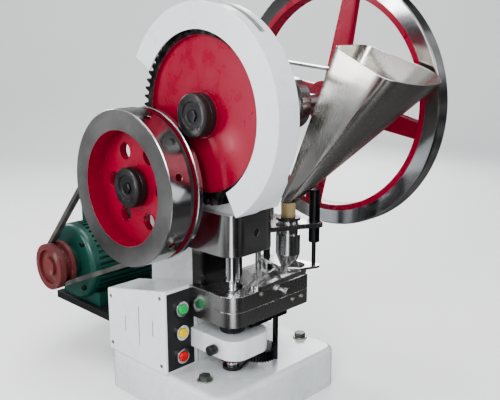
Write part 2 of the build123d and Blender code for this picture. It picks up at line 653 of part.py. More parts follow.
MOTOR_PULLEY_R, MOTOR_PULLEY_FRONT, MOTOR_PULLEY_BACK = 43, -153, -120
with BuildPart() as motor_pulley:
    motor_axis = Plane(origin=(MOTOR_PULLEY_FRONT, MOTOR_Y, MOTOR_Z), x_dir=(0, 1, 0), z_dir=(1, 0, 0))
    with BuildSketch(motor_axis):
        Circle(MOTOR_PULLEY_R)
    extrude(amount=MOTOR_PULLEY_BACK - MOTOR_PULLEY_FRONT)
    with BuildSketch(motor_axis.offset(GROOVE_X - GROOVE_W / 2 - MOTOR_PULLEY_FRONT)):
        Circle(MOTOR_PULLEY_R + 1)
        Circle(SMALL_BELT_R - 0.5, mode=Mode.SUBTRACT)
    extrude(amount=GROOVE_W, mode=Mode.SUBTRACT)
    with BuildSketch(motor_axis):
        Circle(32)
        Circle(17, mode=Mode.SUBTRACT)
    extrude(amount=6, mode=Mode.SUBTRACT)
    with BuildSketch(motor_axis.offset(3)):
        Circle(9.5)
    extrude(amount=40, mode=Mode.SUBTRACT)
save(motor_pulley.part, "motor_pulley")

with BuildPart() as v_belt:
    with BuildSketch(yz(GROOVE_X - BELT_W / 2)):
        with Locations((PINION_Y, PINION_Z)):
            Circle(BIG_BELT_R + BELT_H)
        with Locations((MOTOR_Y, MOTOR_Z)):
            Circle(SMALL_BELT_R + BELT_H)
        make_hull()
        with BuildSketch(mode=Mode.PRIVATE) as inner:
            with Locations((PINION_Y, PINION_Z)):
                Circle(BIG_BELT_R)
            with Locations((MOTOR_Y, MOTOR_Z)):
                Circle(SMALL_BELT_R)
            make_hull()
        add(inner.sketch, mode=Mode.SUBTRACT)
    extrude(amount=BELT_W)
save(v_belt.part, "v_belt")

FINS, FIN_H = 40, 5
with BuildPart() as motor_housing:
    with BuildSketch(yz(MOTOR_LEFT)):
        with Locations((MOTOR_Y, MOTOR_Z)):
            Circle(MOTOR_R)
    extrude(amount=MOTOR_RIGHT - MOTOR_LEFT)
    with BuildSketch(yz(MOTOR_LEFT + 18)):
        with Locations((MOTOR_Y, MOTOR_Z)):
            with PolarLocations(MOTOR_R - FIN_H / 2 + 0.5, FINS, 360 / FINS / 2):
                Rectangle(FIN_H + 1, 5)
    extrude(amount=MOTOR_RIGHT - MOTOR_LEFT - 36, mode=Mode.SUBTRACT)
    fillet(motor_housing.faces().filter_by(Axis.X).sort_by(Axis.X)[0].edges(), 9)
    with BuildSketch(Plane.XY.offset(98)):
        for x in (MOTOR_LEFT + 32, MOTOR_RIGHT - 32):
            with Locations((x, MOTOR_Y)):
                Rectangle(28, 124)
    extrude(amount=26)
    with BuildSketch(Plane.XY.offset(MOTOR_Z + MOTOR_R - 8)):
        with Locations((-20, MOTOR_Y)):
            RectangleRounded(76, 64, 6)
    extrude(amount=34)
    with BuildSketch(yz(MOTOR_LEFT)):
        with Locations((MOTOR_Y, MOTOR_Z)):
            Circle(9.5 + RUN)
    extrude(amount=MOTOR_RIGHT - MOTOR_LEFT, mode=Mode.SUBTRACT)
save(motor_housing.part, "motor_housing")

with BuildPart() as fan_cover:
    with BuildSketch(yz(MOTOR_RIGHT)):
        with Locations((MOTOR_Y, MOTOR_Z)):
            Circle(MOTOR_R + 2)
    extrude(amount=50)
    fillet(fan_cover.faces().sort_by(Axis.X)[-1].edges(), 5)
    with BuildSketch(yz(MOTOR_RIGHT)):
        with Locations((MOTOR_Y, MOTOR_Z)):
            Circle(MOTOR_R)
    extrude(amount=47, mode=Mode.SUBTRACT)
    with BuildSketch(yz(MOTOR_RIGHT + 46)):
        with Locations((MOTOR_Y, MOTOR_Z)):
            for ring_r in (20, 32, 44, 56):
                with PolarLocations(ring_r, int(ring_r / 2.6)):
                    Circle(2.6)
    extrude(amount=5, mode=Mode.SUBTRACT)
save(fan_cover.part, "fan_cover")

with BuildPart() as motor_bracket:
    with BuildSketch(Plane.XY.offset(84)):
        with Locations((-20, (BOX_REAR + 6 + MOTOR_Y + 75) / 2)):
            Rectangle(150, MOTOR_Y + 75 - BOX_REAR - 6)
        with Locations(((COLUMN_LEFT + COLUMN_RIGHT) / 2, (COLUMN_REAR + BOX_REAR + 8) / 2)):
            Rectangle(COLUMN_RIGHT - COLUMN_LEFT - 4, BOX_REAR + 8 - COLUMN_REAR)
    extrude(amount=14)
    with BuildSketch(yz(COLUMN_LEFT + 2)):
        with Locations((COLUMN_REAR + 6, 121)):
            Rectangle(12, 98)
    extrude(amount=COLUMN_RIGHT - COLUMN_LEFT - 4)
    for x in (COLUMN_LEFT + 8, COLUMN_RIGHT - 18):
        with BuildSketch(yz(x)):
            with BuildLine():
                Polyline((COLUMN_REAR + 10, 98), (COLUMN_REAR + 100, 98), (COLUMN_REAR + 10, 165), close=True)
            make_face()
        extrude(amount=10)
save(motor_bracket.part, "motor_bracket")

# ---------------------------------------------------------------- gear guard
GUARD_START, GUARD_END = 30, 240


def sector(radius, start, end):
    """A pie slice about the main shaft between two angles, drawn on a YZ plane."""
    centre = (SHAFT_Y, SHAFT_Z)
    ends = []
    for turn in (start, (start + end) / 2, end):
        ends.append((SHAFT_Y + radius * cos(radians(turn)), SHAFT_Z + radius * sin(radians(turn))))
    with BuildSketch(mode=Mode.PRIVATE) as slice_sketch:
        with BuildLine():
            Line(centre, ends[0])
            ThreePointArc(*ends)
            Line(ends[2], centre)
        make_face()
    return slice_sketch.sketch


with BuildPart() as gear_guard:
    with BuildSketch(yz(GUARD_X)):
        add(sector(GUARD_R, GUARD_START, GUARD_END))
        with Locations((SHAFT_Y, SHAFT_Z)):
            Circle(GUARD_RI, mode=Mode.SUBTRACT)
    extrude(amount=SHEET)
    with BuildSketch(yz(GUARD_X)):
        add(sector(GUARD_R, GUARD_START, GUARD_END))
        with Locations((SHAFT_Y, SHAFT_Z)):
            Circle(GUARD_R - SHEET, mode=Mode.SUBTRACT)
    extrude(amount=GUARD_W)
    with BuildSketch(yz(-98)):
        add(sector(GUARD_R + 2, 98, 133))
        with Locations((SHAFT_Y, SHAFT_Z)):
            Circle(GUARD_R - 6, mode=Mode.SUBTRACT)
    extrude(amount=12, mode=Mode.SUBTRACT)
    fillet(gear_guard.edges().group_by(Axis.X)[0].filter_by(lambda e: e.length > 200).sort_by(SortBy.LENGTH)[-1], 1.9)
    # three tabs that carry the guard on the head casting
    for tab in (66, 118, 190):
        turn = radians(tab)
        with BuildSketch(Plane(origin=(HEAD_LEFT - SHEET, SHAFT_Y, SHAFT_Z), x_dir=(0, cos(turn), sin(turn)), z_dir=(1, 0, 0))):
            with Locations(((54 + GUARD_R - 1) / 2, 0)):
                Rectangle(GUARD_R - 1 - 54, 20)
        extrude(amount=SHEET)
save(gear_guard.part, "gear_guard")

# ---------------------------------------------------------------- control box
BOX_SHEET = 2
PANEL_AT, PANEL_W, PANEL_H = (-108.5, 138.5), 55, 130


def box_side(inset):
    """Side outline of the control box, open underneath; its lid slopes down to the rear."""
    bottom = BASE_H - 1 if inset else BASE_H
    with BuildSketch(mode=Mode.PRIVATE) as side_sketch:
        with BuildLine():
            Polyline((BOX_FRONT + inset, bottom), (BOX_REAR - inset, bottom), (BOX_REAR - inset, BOX_TOP_REAR - inset),
                     (BOX_FRONT + inset, BOX_TOP_FRONT - inset), close=True)
        make_face()
    return side_sketch.sketch


with BuildPart() as control_box:
    with BuildSketch(yz(BOX_LEFT)):
        add(box_side(0))
    extrude(amount=BOX_RIGHT - BOX_LEFT)
    fillet(control_box.edges().filter_by(lambda e: e.center().Z > BASE_H + 1), 3)
    with BuildSketch(yz(BOX_LEFT + BOX_SHEET)):
        add(box_side(BOX_SHEET))
    extrude(amount=BOX_RIGHT - BOX_LEFT - 2 * BOX_SHEET, mode=Mode.SUBTRACT)
    with BuildSketch(yz(BOX_LEFT - 1)):
        for y, z, length in ((14, 140, 27), (50, 134, 67), (87, 128, 27)):
            with Locations((y, z)):
                Rectangle(2.4, length)
    extrude(amount=5, mode=Mode.SUBTRACT)
    with BuildSketch(Plane(origin=(0, BOX_FRONT, 0), x_dir=(1, 0, 0), z_dir=(0, -1, 0))):
        with Locations(PANEL_AT):
            Rectangle(PANEL_W, PANEL_H)
    extrude(amount=-5, mode=Mode.SUBTRACT)
save(control_box.part, "control_box")

BUTTON_R = 8
with BuildPart() as box_panel:
    with BuildSketch(Plane(origin=(0, BOX_FRONT, 0), x_dir=(1, 0, 0), z_dir=(0, -1, 0))):
        with Locations(PANEL_AT):
            Rectangle(PANEL_W, PANEL_H)
        for z in BUTTON_ZS:
            with Locations((BUTTON_X, z)):
                Circle(BUTTON_R + 1.5, mode=Mode.SUBTRACT)
    extrude(amount=-BOX_SHEET)
save(box_panel.part, "box_panel")

with BuildPart() as button_bezels:
    for z in BUTTON_ZS:
        with BuildSketch(Plane(origin=(BUTTON_X, BOX_FRONT, z), x_dir=(1, 0, 0), z_dir=(0, -1, 0))):
            Circle(12.5)
            Circle(BUTTON_R + 0.4, mode=Mode.SUBTRACT)
        extrude(amount=5)
        # threaded body and contact block behind the panel
        with BuildSketch(Plane(origin=(BUTTON_X, BOX_FRONT, z), x_dir=(1, 0, 0), z_dir=(0, -1, 0))):
            Circle(BUTTON_R + 1.5)
            Circle(BUTTON_R + 0.4, mode=Mode.SUBTRACT)
        extrude(amount=-30)
        with BuildSketch(Plane(origin=(BUTTON_X, BOX_FRONT + 28.5, z), x_dir=(1, 0, 0), z_dir=(0, -1, 0))):
            Rectangle(26, 30)
        extrude(amount=-22)
save(button_bezels.part, "button_bezels")

PUSH = 4
for button_name, z in zip(("start_button", "jog_button", "stop_button"), BUTTON_ZS):
    with BuildPart() as button:
        with BuildSketch(Plane(origin=(BUTTON_X, BOX_FRONT + 22, z), x_dir=(1, 0, 0), z_dir=(0, -1, 0))):
            Circle(BUTTON_R)
        extrude(amount=22 + 8.5)
        fillet(button.faces().sort_by(Axis.Y)[0].edges(), 1.5)
    save(button.part, button_name)

# ---------------------------------------------------------------- feeder and hopper
SHOE_BOTTOM, SHOE_TOP = TABLE_TOP + 0.3, TABLE_TOP + 8
CUP_R, PAN_R, SHOE_WALL = 13, 23, 2.5
with BuildPart() as feeder_shoe:
    with BuildSketch(Plane.XY.offset(SHOE_BOTTOM)):
        with Locations(SHOE_CUP):
            Circle(CUP_R)
        with Locations(PAN):
            Circle(PAN_R)
        make_hull()
    extrude(amount=SHOE_TOP - SHOE_BOTTOM)
    with BuildSketch(Plane.XY.offset(SHOE_BOTTOM)):
        with Locations(SHOE_CUP):
            Circle(CUP_R - SHOE_WALL)
        with Locations(PAN):
            Circle(PAN_R - SHOE_WALL)
        make_hull()
    extrude(amount=SHOE_TOP - SHOE_BOTTOM, mode=Mode.SUBTRACT)
save(feeder_shoe.part, "feeder_shoe")

PLATE_T, PIVOT_R = 4, 6
with BuildPart() as feeder_plate:
    with BuildSketch(Plane.XY.offset(SHOE_TOP)):
        with Locations(FEED_PIVOT):
            Circle(12)
        with Locations(PAN):
            Circle(PAN_R)
        with Locations((PLUNGER[0] + 2, PLUNGER[1])):
            Circle(9)
        make_hull()
        with Locations(PAN):
            Circle(PAN_R - SHOE_WALL, mode=Mode.SUBTRACT)
        with Locations(FEED_PIVOT):
            Circle(PIVOT_R, mode=Mode.SUBTRACT)
    extrude(amount=PLATE_T)
    with BuildSketch(Plane.XY.offset(SHOE_BOTTOM)):
        with Locations(FEED_PIVOT):
            Circle(12)
            Circle(PIVOT_R, mode=Mode.SUBTRACT)
    extrude(amount=SHOE_TOP - SHOE_BOTTOM)
save(feeder_plate.part, "feeder_plate")

LEVER_Z, LEVER_T, LEVER_TIP = 402, 10, (84, -70)
with BuildPart() as feeder_lever_shaft:
    with BuildSketch(Plane.XY.offset(SHOE_BOTTOM)):
        with Locations(FEED_PIVOT):
            Circle(PIVOT_R)
    extrude(amount=LEVER_Z + LEVER_T + 3 - SHOE_BOTTOM)
    with BuildSketch(Plane.XY.offset(LEVER_Z)):
        with Locations(FEED_PIVOT):
            Circle(11)
        with Locations(LEVER_TIP):
            Circle(7)
        make_hull()
    extrude(amount=LEVER_T)
    with BuildSketch(Plane.XY.offset(LEVER_Z + LEVER_T)):
        with Locations(LEVER_TIP):
            Circle(4)
    extrude(amount=22)
save(feeder_lever_shaft.part, "feeder_lever_shaft")

BRACKET_Z, BRACKET_T = 288, 8
COLLAR_R, OUTLET_R = 16, 8
with BuildPart() as feeder_bracket:
    with BuildSketch(Plane.XY.offset(BRACKET_Z)):
        with Locations((COLUMN_RIGHT + 3, -58)):
            Rectangle(6, 66)
        with Locations(BOOT):
            Circle(24)
        with Locations(FEED_PIVOT):
            Circle(14)
        make_hull()
        with BuildSketch(mode=Mode.PRIVATE) as arm:
            with Locations(BOOT):
                Circle(20)
            with Locations(PLUNGER):
                Circle(14)
            make_hull()
        add(arm.sketch)
        with Locations(BOOT):
            Circle(COLLAR_R, mode=Mode.SUBTRACT)
        with Locations(PLUNGER):
            Circle(9, mode=Mode.SUBTRACT)
        with Locations(LIFT_ROD):
            Circle(7, mode=Mode.SUBTRACT)
        with Locations(FEED_PIVOT):
            Circle(PIVOT_R + RUN, mode=Mode.SUBTRACT)
    extrude(amount=BRACKET_T)
    with BuildSketch(Plane.XY.offset(BRACKET_Z)):
        with Locations(FEED_PIVOT):
            Circle(12)
            Circle(PIVOT_R + RUN, mode=Mode.SUBTRACT)
    extrude(amount=24)
save(feeder_bracket.part, "feeder_bracket")

BOOT_BOTTOM, BOOT_WAIST, BOOT_TOP = SHOE_TOP + PLATE_T + 0.5, 277, 301
with BuildPart() as feeder_boot:
    with BuildSketch(Plane(origin=(*BOOT, 0), x_dir=(1, 0, 0), z_dir=(0, -1, 0))):
        with BuildLine():
            Polyline((OUTLET_R, BOOT_BOTTOM), (12, BOOT_BOTTOM), (20, BOOT_BOTTOM + 22), (20, BOOT_WAIST), (COLLAR_R, BOOT_WAIST),
                     (COLLAR_R, BOOT_TOP), (12, BOOT_TOP), (12, BOOT_BOTTOM + 30), close=True)
        make_face()
    revolve(axis=Axis((*BOOT, 0), (0, 0, 1)))
save(feeder_boot.part, "feeder_boot")

SEAL_TOP, NECK_TOP = 305, 330
with BuildPart() as neck_tube:
    with BuildSketch(Plane.XY.offset(BOOT_TOP)):
        with Locations(BOOT):
            Circle(20)
            Circle(9, mode=Mode.SUBTRACT)
    extrude(amount=SEAL_TOP - BOOT_TOP)
    with BuildSketch(Plane.XY.offset(SEAL_TOP)):
        with Locations(BOOT):
            Circle(12)
            Circle(9, mode=Mode.SUBTRACT)
    extrude(amount=NECK_TOP - SEAL_TOP)
save(neck_tube.part, "neck_tube")

MOUTH_TILT = 17
MOUTH = Plane(origin=(110, -160, 580), x_dir=(1, 0, 0), z_dir=(0, -sin(radians(MOUTH_TILT)), cos(radians(MOUTH_TILT))))
HOPPER_SHEET = 1.5


def mouth_outline(inset):
    """D-shaped mouth: a round front, a short flat back edge and a flat right side."""
    with BuildSketch(mode=Mode.PRIVATE) as mouth_sketch:
        with BuildLine():
            Polyline((-36 + inset, -12), (-24 + inset, -inset), (58 - inset, -inset), (58 - inset, -100))
            ThreePointArc((58 - inset, -100), (-14, -178 + inset), (-94 + inset, -142))
            Line((-94 + inset, -142), (-36 + inset, -12))
        make_face()
    return mouth_sketch.sketch


with BuildPart() as hopper:
    with BuildSketch(Plane.XY.offset(NECK_TOP)):
        with Locations(BOOT):
            Circle(13)
    with BuildSketch(MOUTH):
        add(mouth_outline(0))
    loft()
    with BuildSketch(Plane.XY.offset(NECK_TOP - 0.2)):
        with Locations(BOOT):
            Circle(13 - HOPPER_SHEET)
    with BuildSketch(MOUTH.offset(0.2)):
        add(mouth_outline(HOPPER_SHEET * 1.4))
    loft(mode=Mode.SUBTRACT)
save(hopper.part, "hopper")

with BuildPart() as hold_down_plunger:
    with BuildSketch(Plane.XY.offset(262)):
        with Locations(PLUNGER):
            Circle(9)
    extrude(amount=88)
    with BuildSketch(Plane.XY.offset(SHOE_TOP + PLATE_T + 0.3)):
        with Locations(PLUNGER):
            Circle(3.5)
    extrude(amount=262 - SHOE_TOP - PLATE_T - 0.3)
save(hold_down_plunger.part, "hold_down_plunger")

STAY_X, STAY_W, STAY_T = 84, 16, 4
STAY_BACK, STAY_FRONT, STAY_END = -44, -60, -146.4
ROOF_SLOPE = 8 / 60
with BuildPart() as hopper_stay:
    with BuildSketch(yz(STAY_X)):
        with BuildLine():
            Polyline((STAY_BACK, 556), (STAY_END, 546), (STAY_END, 546 - STAY_T), (STAY_BACK, 556 - STAY_T), close=True)
        make_face()
    extrude(amount=STAY_W)
    with BuildSketch(yz(COLUMN_RIGHT - 30)):
        with BuildLine():
            Polyline((STAY_BACK, 556), (STAY_FRONT, 554.4), (STAY_FRONT, SHAFT_Z + HOUSING_R - 12 * ROOF_SLOPE),
                     (STAY_BACK, SHAFT_Z + HOUSING_R - 28 * ROOF_SLOPE), close=True)
        make_face()
    extrude(amount=STAY_X - COLUMN_RIGHT + 30)
save(hopper_stay.part, "hopper_stay")
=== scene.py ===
import bpy
import bmesh
import random
from math import atan2, cos, pi, radians, sin
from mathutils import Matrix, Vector


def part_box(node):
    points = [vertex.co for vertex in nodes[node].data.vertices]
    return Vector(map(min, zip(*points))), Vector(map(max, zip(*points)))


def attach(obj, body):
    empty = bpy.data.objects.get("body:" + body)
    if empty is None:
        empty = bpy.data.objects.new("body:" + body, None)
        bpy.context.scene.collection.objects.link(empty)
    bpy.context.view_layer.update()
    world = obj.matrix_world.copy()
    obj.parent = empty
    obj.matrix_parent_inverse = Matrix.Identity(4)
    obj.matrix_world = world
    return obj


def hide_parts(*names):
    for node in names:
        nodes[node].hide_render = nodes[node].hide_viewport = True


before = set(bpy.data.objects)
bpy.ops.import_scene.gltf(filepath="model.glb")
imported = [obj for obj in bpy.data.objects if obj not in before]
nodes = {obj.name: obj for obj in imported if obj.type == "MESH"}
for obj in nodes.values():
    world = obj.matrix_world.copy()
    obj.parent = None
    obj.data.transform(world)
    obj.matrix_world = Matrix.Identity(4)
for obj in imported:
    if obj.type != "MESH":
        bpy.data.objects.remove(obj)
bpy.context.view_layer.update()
random.seed(7)
scene = bpy.context.scene

# ------------------------------------------------------------------ places taken from the CAD frame
def centre(node):
    low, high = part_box(node)
    return (Vector(low) + Vector(high)) / 2


MAIN = centre("main_shaft")
PINION = centre("pinion_shaft")
MOTOR = centre("motor_shaft")
PUNCH = centre("lower_punch")
HEAD_HEIGHT = 0.065               # of the block above the throat
HEAD_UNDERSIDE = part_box("head_block")[1][2] - HEAD_HEIGHT


# ------------------------------------------------------------------ materials
class Shader:
    """A Principled material with short calls for the nodes that feed it."""

    def __init__(self, name, metallic=0.0, roughness=0.4, coat=0.0, specular=0.5):
        self.mat = bpy.data.materials.new(name)
        self.mat.use_nodes = True
        self.tree = self.mat.node_tree
        self.bsdf = self.tree.nodes["Principled BSDF"]
        self.bsdf.inputs["Metallic"].default_value = metallic
        self.bsdf.inputs["Roughness"].default_value = roughness
        self.bsdf.inputs["Coat Weight"].default_value = coat
        self.bsdf.inputs["Coat Roughness"].default_value = 0.08
        self.bsdf.inputs["Specular IOR Level"].default_value = specular
        self.place = self.tree.nodes.new("ShaderNodeTexCoord").outputs["Object"]

    def link(self, a, b):
        self.tree.links.new(a, b)

    def scaled(self, scale):
        n = self.tree.nodes.new("ShaderNodeMapping")
        n.inputs["Scale"].default_value = scale
        self.link(self.place, n.inputs["Vector"])
        return n.outputs["Vector"]

    def noise(self, scale, detail=3.0, rough=0.55, stretch=(1, 1, 1)):
        n = self.tree.nodes.new("ShaderNodeTexNoise")
        n.inputs["Scale"].default_value = scale
        n.inputs["Detail"].default_value = detail
        n.inputs["Roughness"].default_value = rough
        self.link(self.scaled(stretch), n.inputs["Vector"])
        return n.outputs["Fac"]

    def math(self, op, a, b=0.0):
        n = self.tree.nodes.new("ShaderNodeMath")
        n.operation = op
        for socket, value in zip(n.inputs, (a, b)):
            if isinstance(value, (int, float)):
                socket.default_value = value
            else:
                self.link(value, socket)
        return n.outputs[0]

    def span(self, value, lo, hi, out_lo=0.0, out_hi=1.0):
        n = self.tree.nodes.new("ShaderNodeMapRange")
        self.link(value, n.inputs["Value"])
        for key, v in (("From Min", lo), ("From Max", hi), ("To Min", out_lo), ("To Max", out_hi)):
            n.inputs[key].default_value = v
        return n.outputs["Result"]

    def mix(self, factor, a, b):
        n = self.tree.nodes.new("ShaderNodeMix")
        n.data_type = "RGBA"
        if isinstance(factor, (int, float)):
            n.inputs["Factor"].default_value = factor
        else:
            self.link(factor, n.inputs["Factor"])
        for socket, value in ((n.inputs[6], a), (n.inputs[7], b)):
            if isinstance(value, tuple):
                socket.default_value = (*value[:3], 1)
            else:
                self.link(value, socket)
        return n.outputs[2]

    def split(self):
        n = self.tree.nodes.new("ShaderNodeSeparateXYZ")
        self.link(self.place, n.inputs[0])
        return n.outputs

    def radius(self, axis_point, about="x"):
        """Distance from a line through axis_point along x or z."""
        x, y, z = self.split()
        if about == "x":
            u, v = self.math("SUBTRACT", y, axis_point[1]), self.math("SUBTRACT", z, axis_point[2])
        else:
            u, v = self.math("SUBTRACT", x, axis_point[0]), self.math("SUBTRACT", y, axis_point[1])
        return self.math("SQRT", self.math("ADD", self.math("MULTIPLY", u, u), self.math("MULTIPLY", v, v)))

    def rings(self, radius, pitch):
        """Fine turning marks that vary along a radius."""
        n = self.tree.nodes.new("ShaderNodeTexNoise")
        n.noise_dimensions = "1D"
        n.inputs["Scale"].default_value = 1.0 / pitch
        n.inputs["Detail"].default_value = 3
        self.link(radius, n.inputs["W"])
        return n.outputs["Fac"]

    def bump(self, height, strength=0.2, distance=0.0004, edge=0.0012):
        n = self.tree.nodes.new("ShaderNodeBump")
        n.inputs["Strength"].default_value = strength
        n.inputs["Distance"].default_value = distance
        self.link(height, n.inputs["Height"])
        if edge:
            e = self.tree.nodes.new("ShaderNodeBevel")
            e.samples = 4
            e.inputs["Radius"].default_value = edge
            self.link(e.outputs["Normal"], n.inputs["Normal"])
        self.link(n.outputs["Normal"], self.bsdf.inputs["Normal"])

    def colour(self, value):
        self.link(value, self.bsdf.inputs["Base Color"])

    def rough(self, value):
        self.link(value, self.bsdf.inputs["Roughness"])

    def metal(self, value):
        self.link(value, self.bsdf.inputs["Metallic"])

    def turned_about(self, axis, amount):
        """Stretch highlights across the turning marks, as lathe work does."""
        t = self.tree.nodes.new("ShaderNodeTangent")
        t.direction_type = "RADIAL"
        t.axis = axis
        self.link(t.outputs["Tangent"], self.bsdf.inputs["Tangent"])
        self.bsdf.inputs["Anisotropic"].default_value = amount


def enamel(name, base, shade, roughness=0.28, coat=0.5, edge=0.002):
    """Brushed-on machine enamel: faint orange peel, uneven tone and a little grime."""
    s = Shader(name, roughness=roughness, coat=coat)
    tone = s.span(s.noise(5, 4), 0.35, 0.7)
    grime = s.span(s.noise(38, 6, 0.7), 0.56, 0.78, 0.0, 0.35)
    s.colour(s.mix(grime, s.mix(tone, base, shade), tuple(c * 0.55 for c in shade)))
    s.rough(s.span(s.noise(24, 4), 0.3, 0.75, roughness - 0.07, roughness + 0.13))
    s.bump(s.math("ADD", s.noise(210, 2), s.math("MULTIPLY", s.noise(26, 2), 1.6)), 0.16, 0.0005, edge)
    return s.mat


def ground(name, base, stretch, roughness=0.26, shade=None, edge=0.0008, mottle=0.3, depth=0.10):
    """Ground or brushed steel with lay marks along one direction, smudges and light staining."""
    s = Shader(name, metallic=1.0, roughness=roughness)
    shade = shade or tuple(c * 0.7 for c in base)
    s.colour(s.mix(s.span(s.noise(11, 2, 0.5), 0.4, 0.72, 0.0, mottle), base, shade))
    lay = s.noise(60, 4, 0.6, stretch)
    smudge = s.span(s.noise(13, 2), 0.35, 0.7, roughness - 0.03, roughness + 0.06)
    s.rough(s.math("ADD", smudge, s.span(lay, 0.3, 0.7, -0.05, 0.05)))
    s.bump(lay, depth, 0.0002, edge)
    return s.mat


def turned(name, base, axis_point, about="x", roughness=0.16, edge=0.0008, pitch=0.0006, tint=None):
    """Lathe-turned steel: concentric marks about an axis, with smudges."""
    s = Shader(name, metallic=1.0, roughness=roughness)
    marks = s.rings(s.radius(axis_point, about), pitch)
    s.colour(s.mix(s.span(s.noise(16, 4), 0.35, 0.75), base, tint or tuple(c * 0.78 for c in base)))
    smudge = s.span(s.noise(14, 2), 0.3, 0.75, roughness - 0.03, roughness + 0.06)
    s.rough(s.math("ADD", smudge, s.span(marks, 0.3, 0.7, -0.03, 0.05)))
    s.bump(marks, 0.12, 0.0001, edge)
    return s.mat


def moulded(name, base, roughness=0.35, grain=320):
    s = Shader(name, roughness=roughness)
    s.colour(s.mix(s.span(s.noise(30, 4), 0.4, 0.8, 0.0, 0.5), base, tuple(c * 0.6 for c in base)))
    s.rough(s.span(s.noise(40, 3), 0.3, 0.7, roughness - 0.08, roughness + 0.12))
    s.bump(s.noise(grain, 2), 0.12, 0.0003, 0.0008)
    return s.mat


RED, RED_DARK = (0.27, 0.004, 0.026), (0.20, 0.003, 0.020)
STEEL = (0.62, 0.62, 0.63)

white = enamel("white_enamel", (0.62, 0.65, 0.665), (0.55, 0.58, 0.60))
white_sheet = enamel("white_sheet", (0.66, 0.685, 0.70), (0.60, 0.625, 0.645), 0.32, 0.3, 0.001)
green = enamel("green_enamel", (0.012, 0.085, 0.062), (0.006, 0.045, 0.036), 0.34, 0.25, 0.0015)
black_enamel = enamel("black_enamel", (0.018, 0.018, 0.02), (0.01, 0.01, 0.011), 0.36, 0.2)
polished = ground("polished_steel", STEEL, (1, 1, 18), 0.17, mottle=0.35)
table_steel = ground("table_steel", (0.52, 0.52, 0.52), (26, 1, 1), 0.24, depth=0.04)
bolt_dark = ground("hold_down_finish", (0.15, 0.17, 0.155), (3, 3, 3), 0.42, (0.09, 0.075, 0.05), mottle=0.5)
rod_steel = turned("rod_steel", STEEL, PUNCH, "z", 0.14)
shaft_steel = turned("shaft_steel", (0.56, 0.56, 0.57), MAIN, "x", 0.22)
chrome = turned("chrome", (0.75, 0.76, 0.78), PUNCH, "z", 0.09)
plated = ground("plated_steel", (0.42, 0.45, 0.40), (3, 3, 3), 0.38, (0.24, 0.2, 0.14), mottle=0.5)
bronze = turned("bronze", (0.52, 0.33, 0.13), MAIN, "x", 0.3)
blackened = ground("blackened_steel", (0.055, 0.055, 0.06), (4, 4, 4), 0.36, (0.03, 0.028, 0.026))
tray_steel = ground("tray_steel", (0.66, 0.66, 0.66), (1, 12, 1), 0.2)
black_plastic = moulded("black_plastic", (0.016, 0.016, 0.018))
green_cap = moulded("green_cap", (0.01, 0.42, 0.10), 0.22)
yellow_cap = moulded("yellow_cap", (0.80, 0.56, 0.01), 0.22)
red_cap = moulded("red_cap", (0.65, 0.012, 0.012), 0.22)


def rust_red():
    """Oxide-primed iron, rubbed through to metal on the high spots."""
    s = Shader("oxide_red", roughness=0.55)
    worn = s.span(s.noise(48, 6, 0.7), 0.58, 0.66)
    primer = s.mix(s.span(s.noise(9, 3), 0.3, 0.7), (0.16, 0.03, 0.03), (0.08, 0.02, 0.022))
    s.colour(s.mix(worn, primer, (0.30, 0.24, 0.20)))
    s.metal(s.math("MULTIPLY", worn, 0.8))
    s.rough(s.span(s.noise(40, 4), 0.3, 0.7, 0.38, 0.65))
    s.bump(s.noise(120, 4), 0.3, 0.0006)
    return s.mat


def hopper_metal():
    """Satin rolled stainless: fine brushing down the cone, cloudy reflections and powder dust."""
    s = Shader("hopper_stainless", metallic=1.0, roughness=0.3)
    brush = s.noise(90, 4, 0.6, (5, 5, 0.35))
    cloud = s.noise(7, 2, 0.5)
    s.colour(s.mix(s.span(cloud, 0.35, 0.7, 0.0, 0.7), (0.62, 0.60, 0.57), (0.52, 0.50, 0.47)))
    s.rough(s.math("ADD", s.span(cloud, 0.3, 0.7, 0.20, 0.27), s.span(brush, 0.3, 0.7, -0.03, 0.05)))
    s.bump(s.math("ADD", brush, s.math("MULTIPLY", s.noise(5, 1), 2.0)), 0.10, 0.0005, 0.0)
    return s.mat


def two_finish(name, axis_point, mask_of, steel, paint, paint_rough=0.26, steel_rough=0.1, pitch=0.0008):
    """One casting, painted in the recesses and machined bright where mask is 1."""
    s = Shader(name, roughness=0.2, coat=0.0)
    mask = mask_of(s)
    marks = s.rings(s.radius(axis_point), pitch)
    tone = s.span(s.noise(7, 4), 0.35, 0.7)
    painted = s.mix(s.span(s.noise(60, 5, 0.7), 0.64, 0.8, 0.0, 0.14),
                    s.mix(tone, paint, tuple(c * 0.8 for c in paint)), tuple(c * 0.4 for c in paint))
    bright = s.mix(s.span(s.noise(20, 4), 0.35, 0.75), steel, tuple(c * 0.7 for c in steel))
    s.colour(s.mix(mask, painted, bright))
    s.metal(mask)
    paint_r = s.span(s.noise(30, 4), 0.3, 0.7, paint_rough - 0.06, paint_rough + 0.14)
    smudge = s.span(s.noise(14, 2), 0.3, 0.75, steel_rough - 0.03, steel_rough + 0.05)
    steel_r = s.math("ADD", smudge, s.span(marks, 0.3, 0.7, -0.03, 0.04))
    s.rough(s.math("ADD", s.math("MULTIPLY", mask, steel_r),
                   s.math("MULTIPLY", s.math("SUBTRACT", 1.0, mask), paint_r)))
    orange = s.math("MULTIPLY", s.noise(180, 2), s.math("SUBTRACT", 1.0, mask))
    lathe_marks = s.math("MULTIPLY", marks, s.math("MULTIPLY", mask, 0.25))
    s.bump(s.math("ADD", orange, lathe_marks), 0.2, 0.0004, 0.0012)
    s.turned_about("X", 0.6)
    return s.mat


def wheel_mask(s):
    return s.math("GREATER_THAN", s.radius(MAIN), 0.1895)


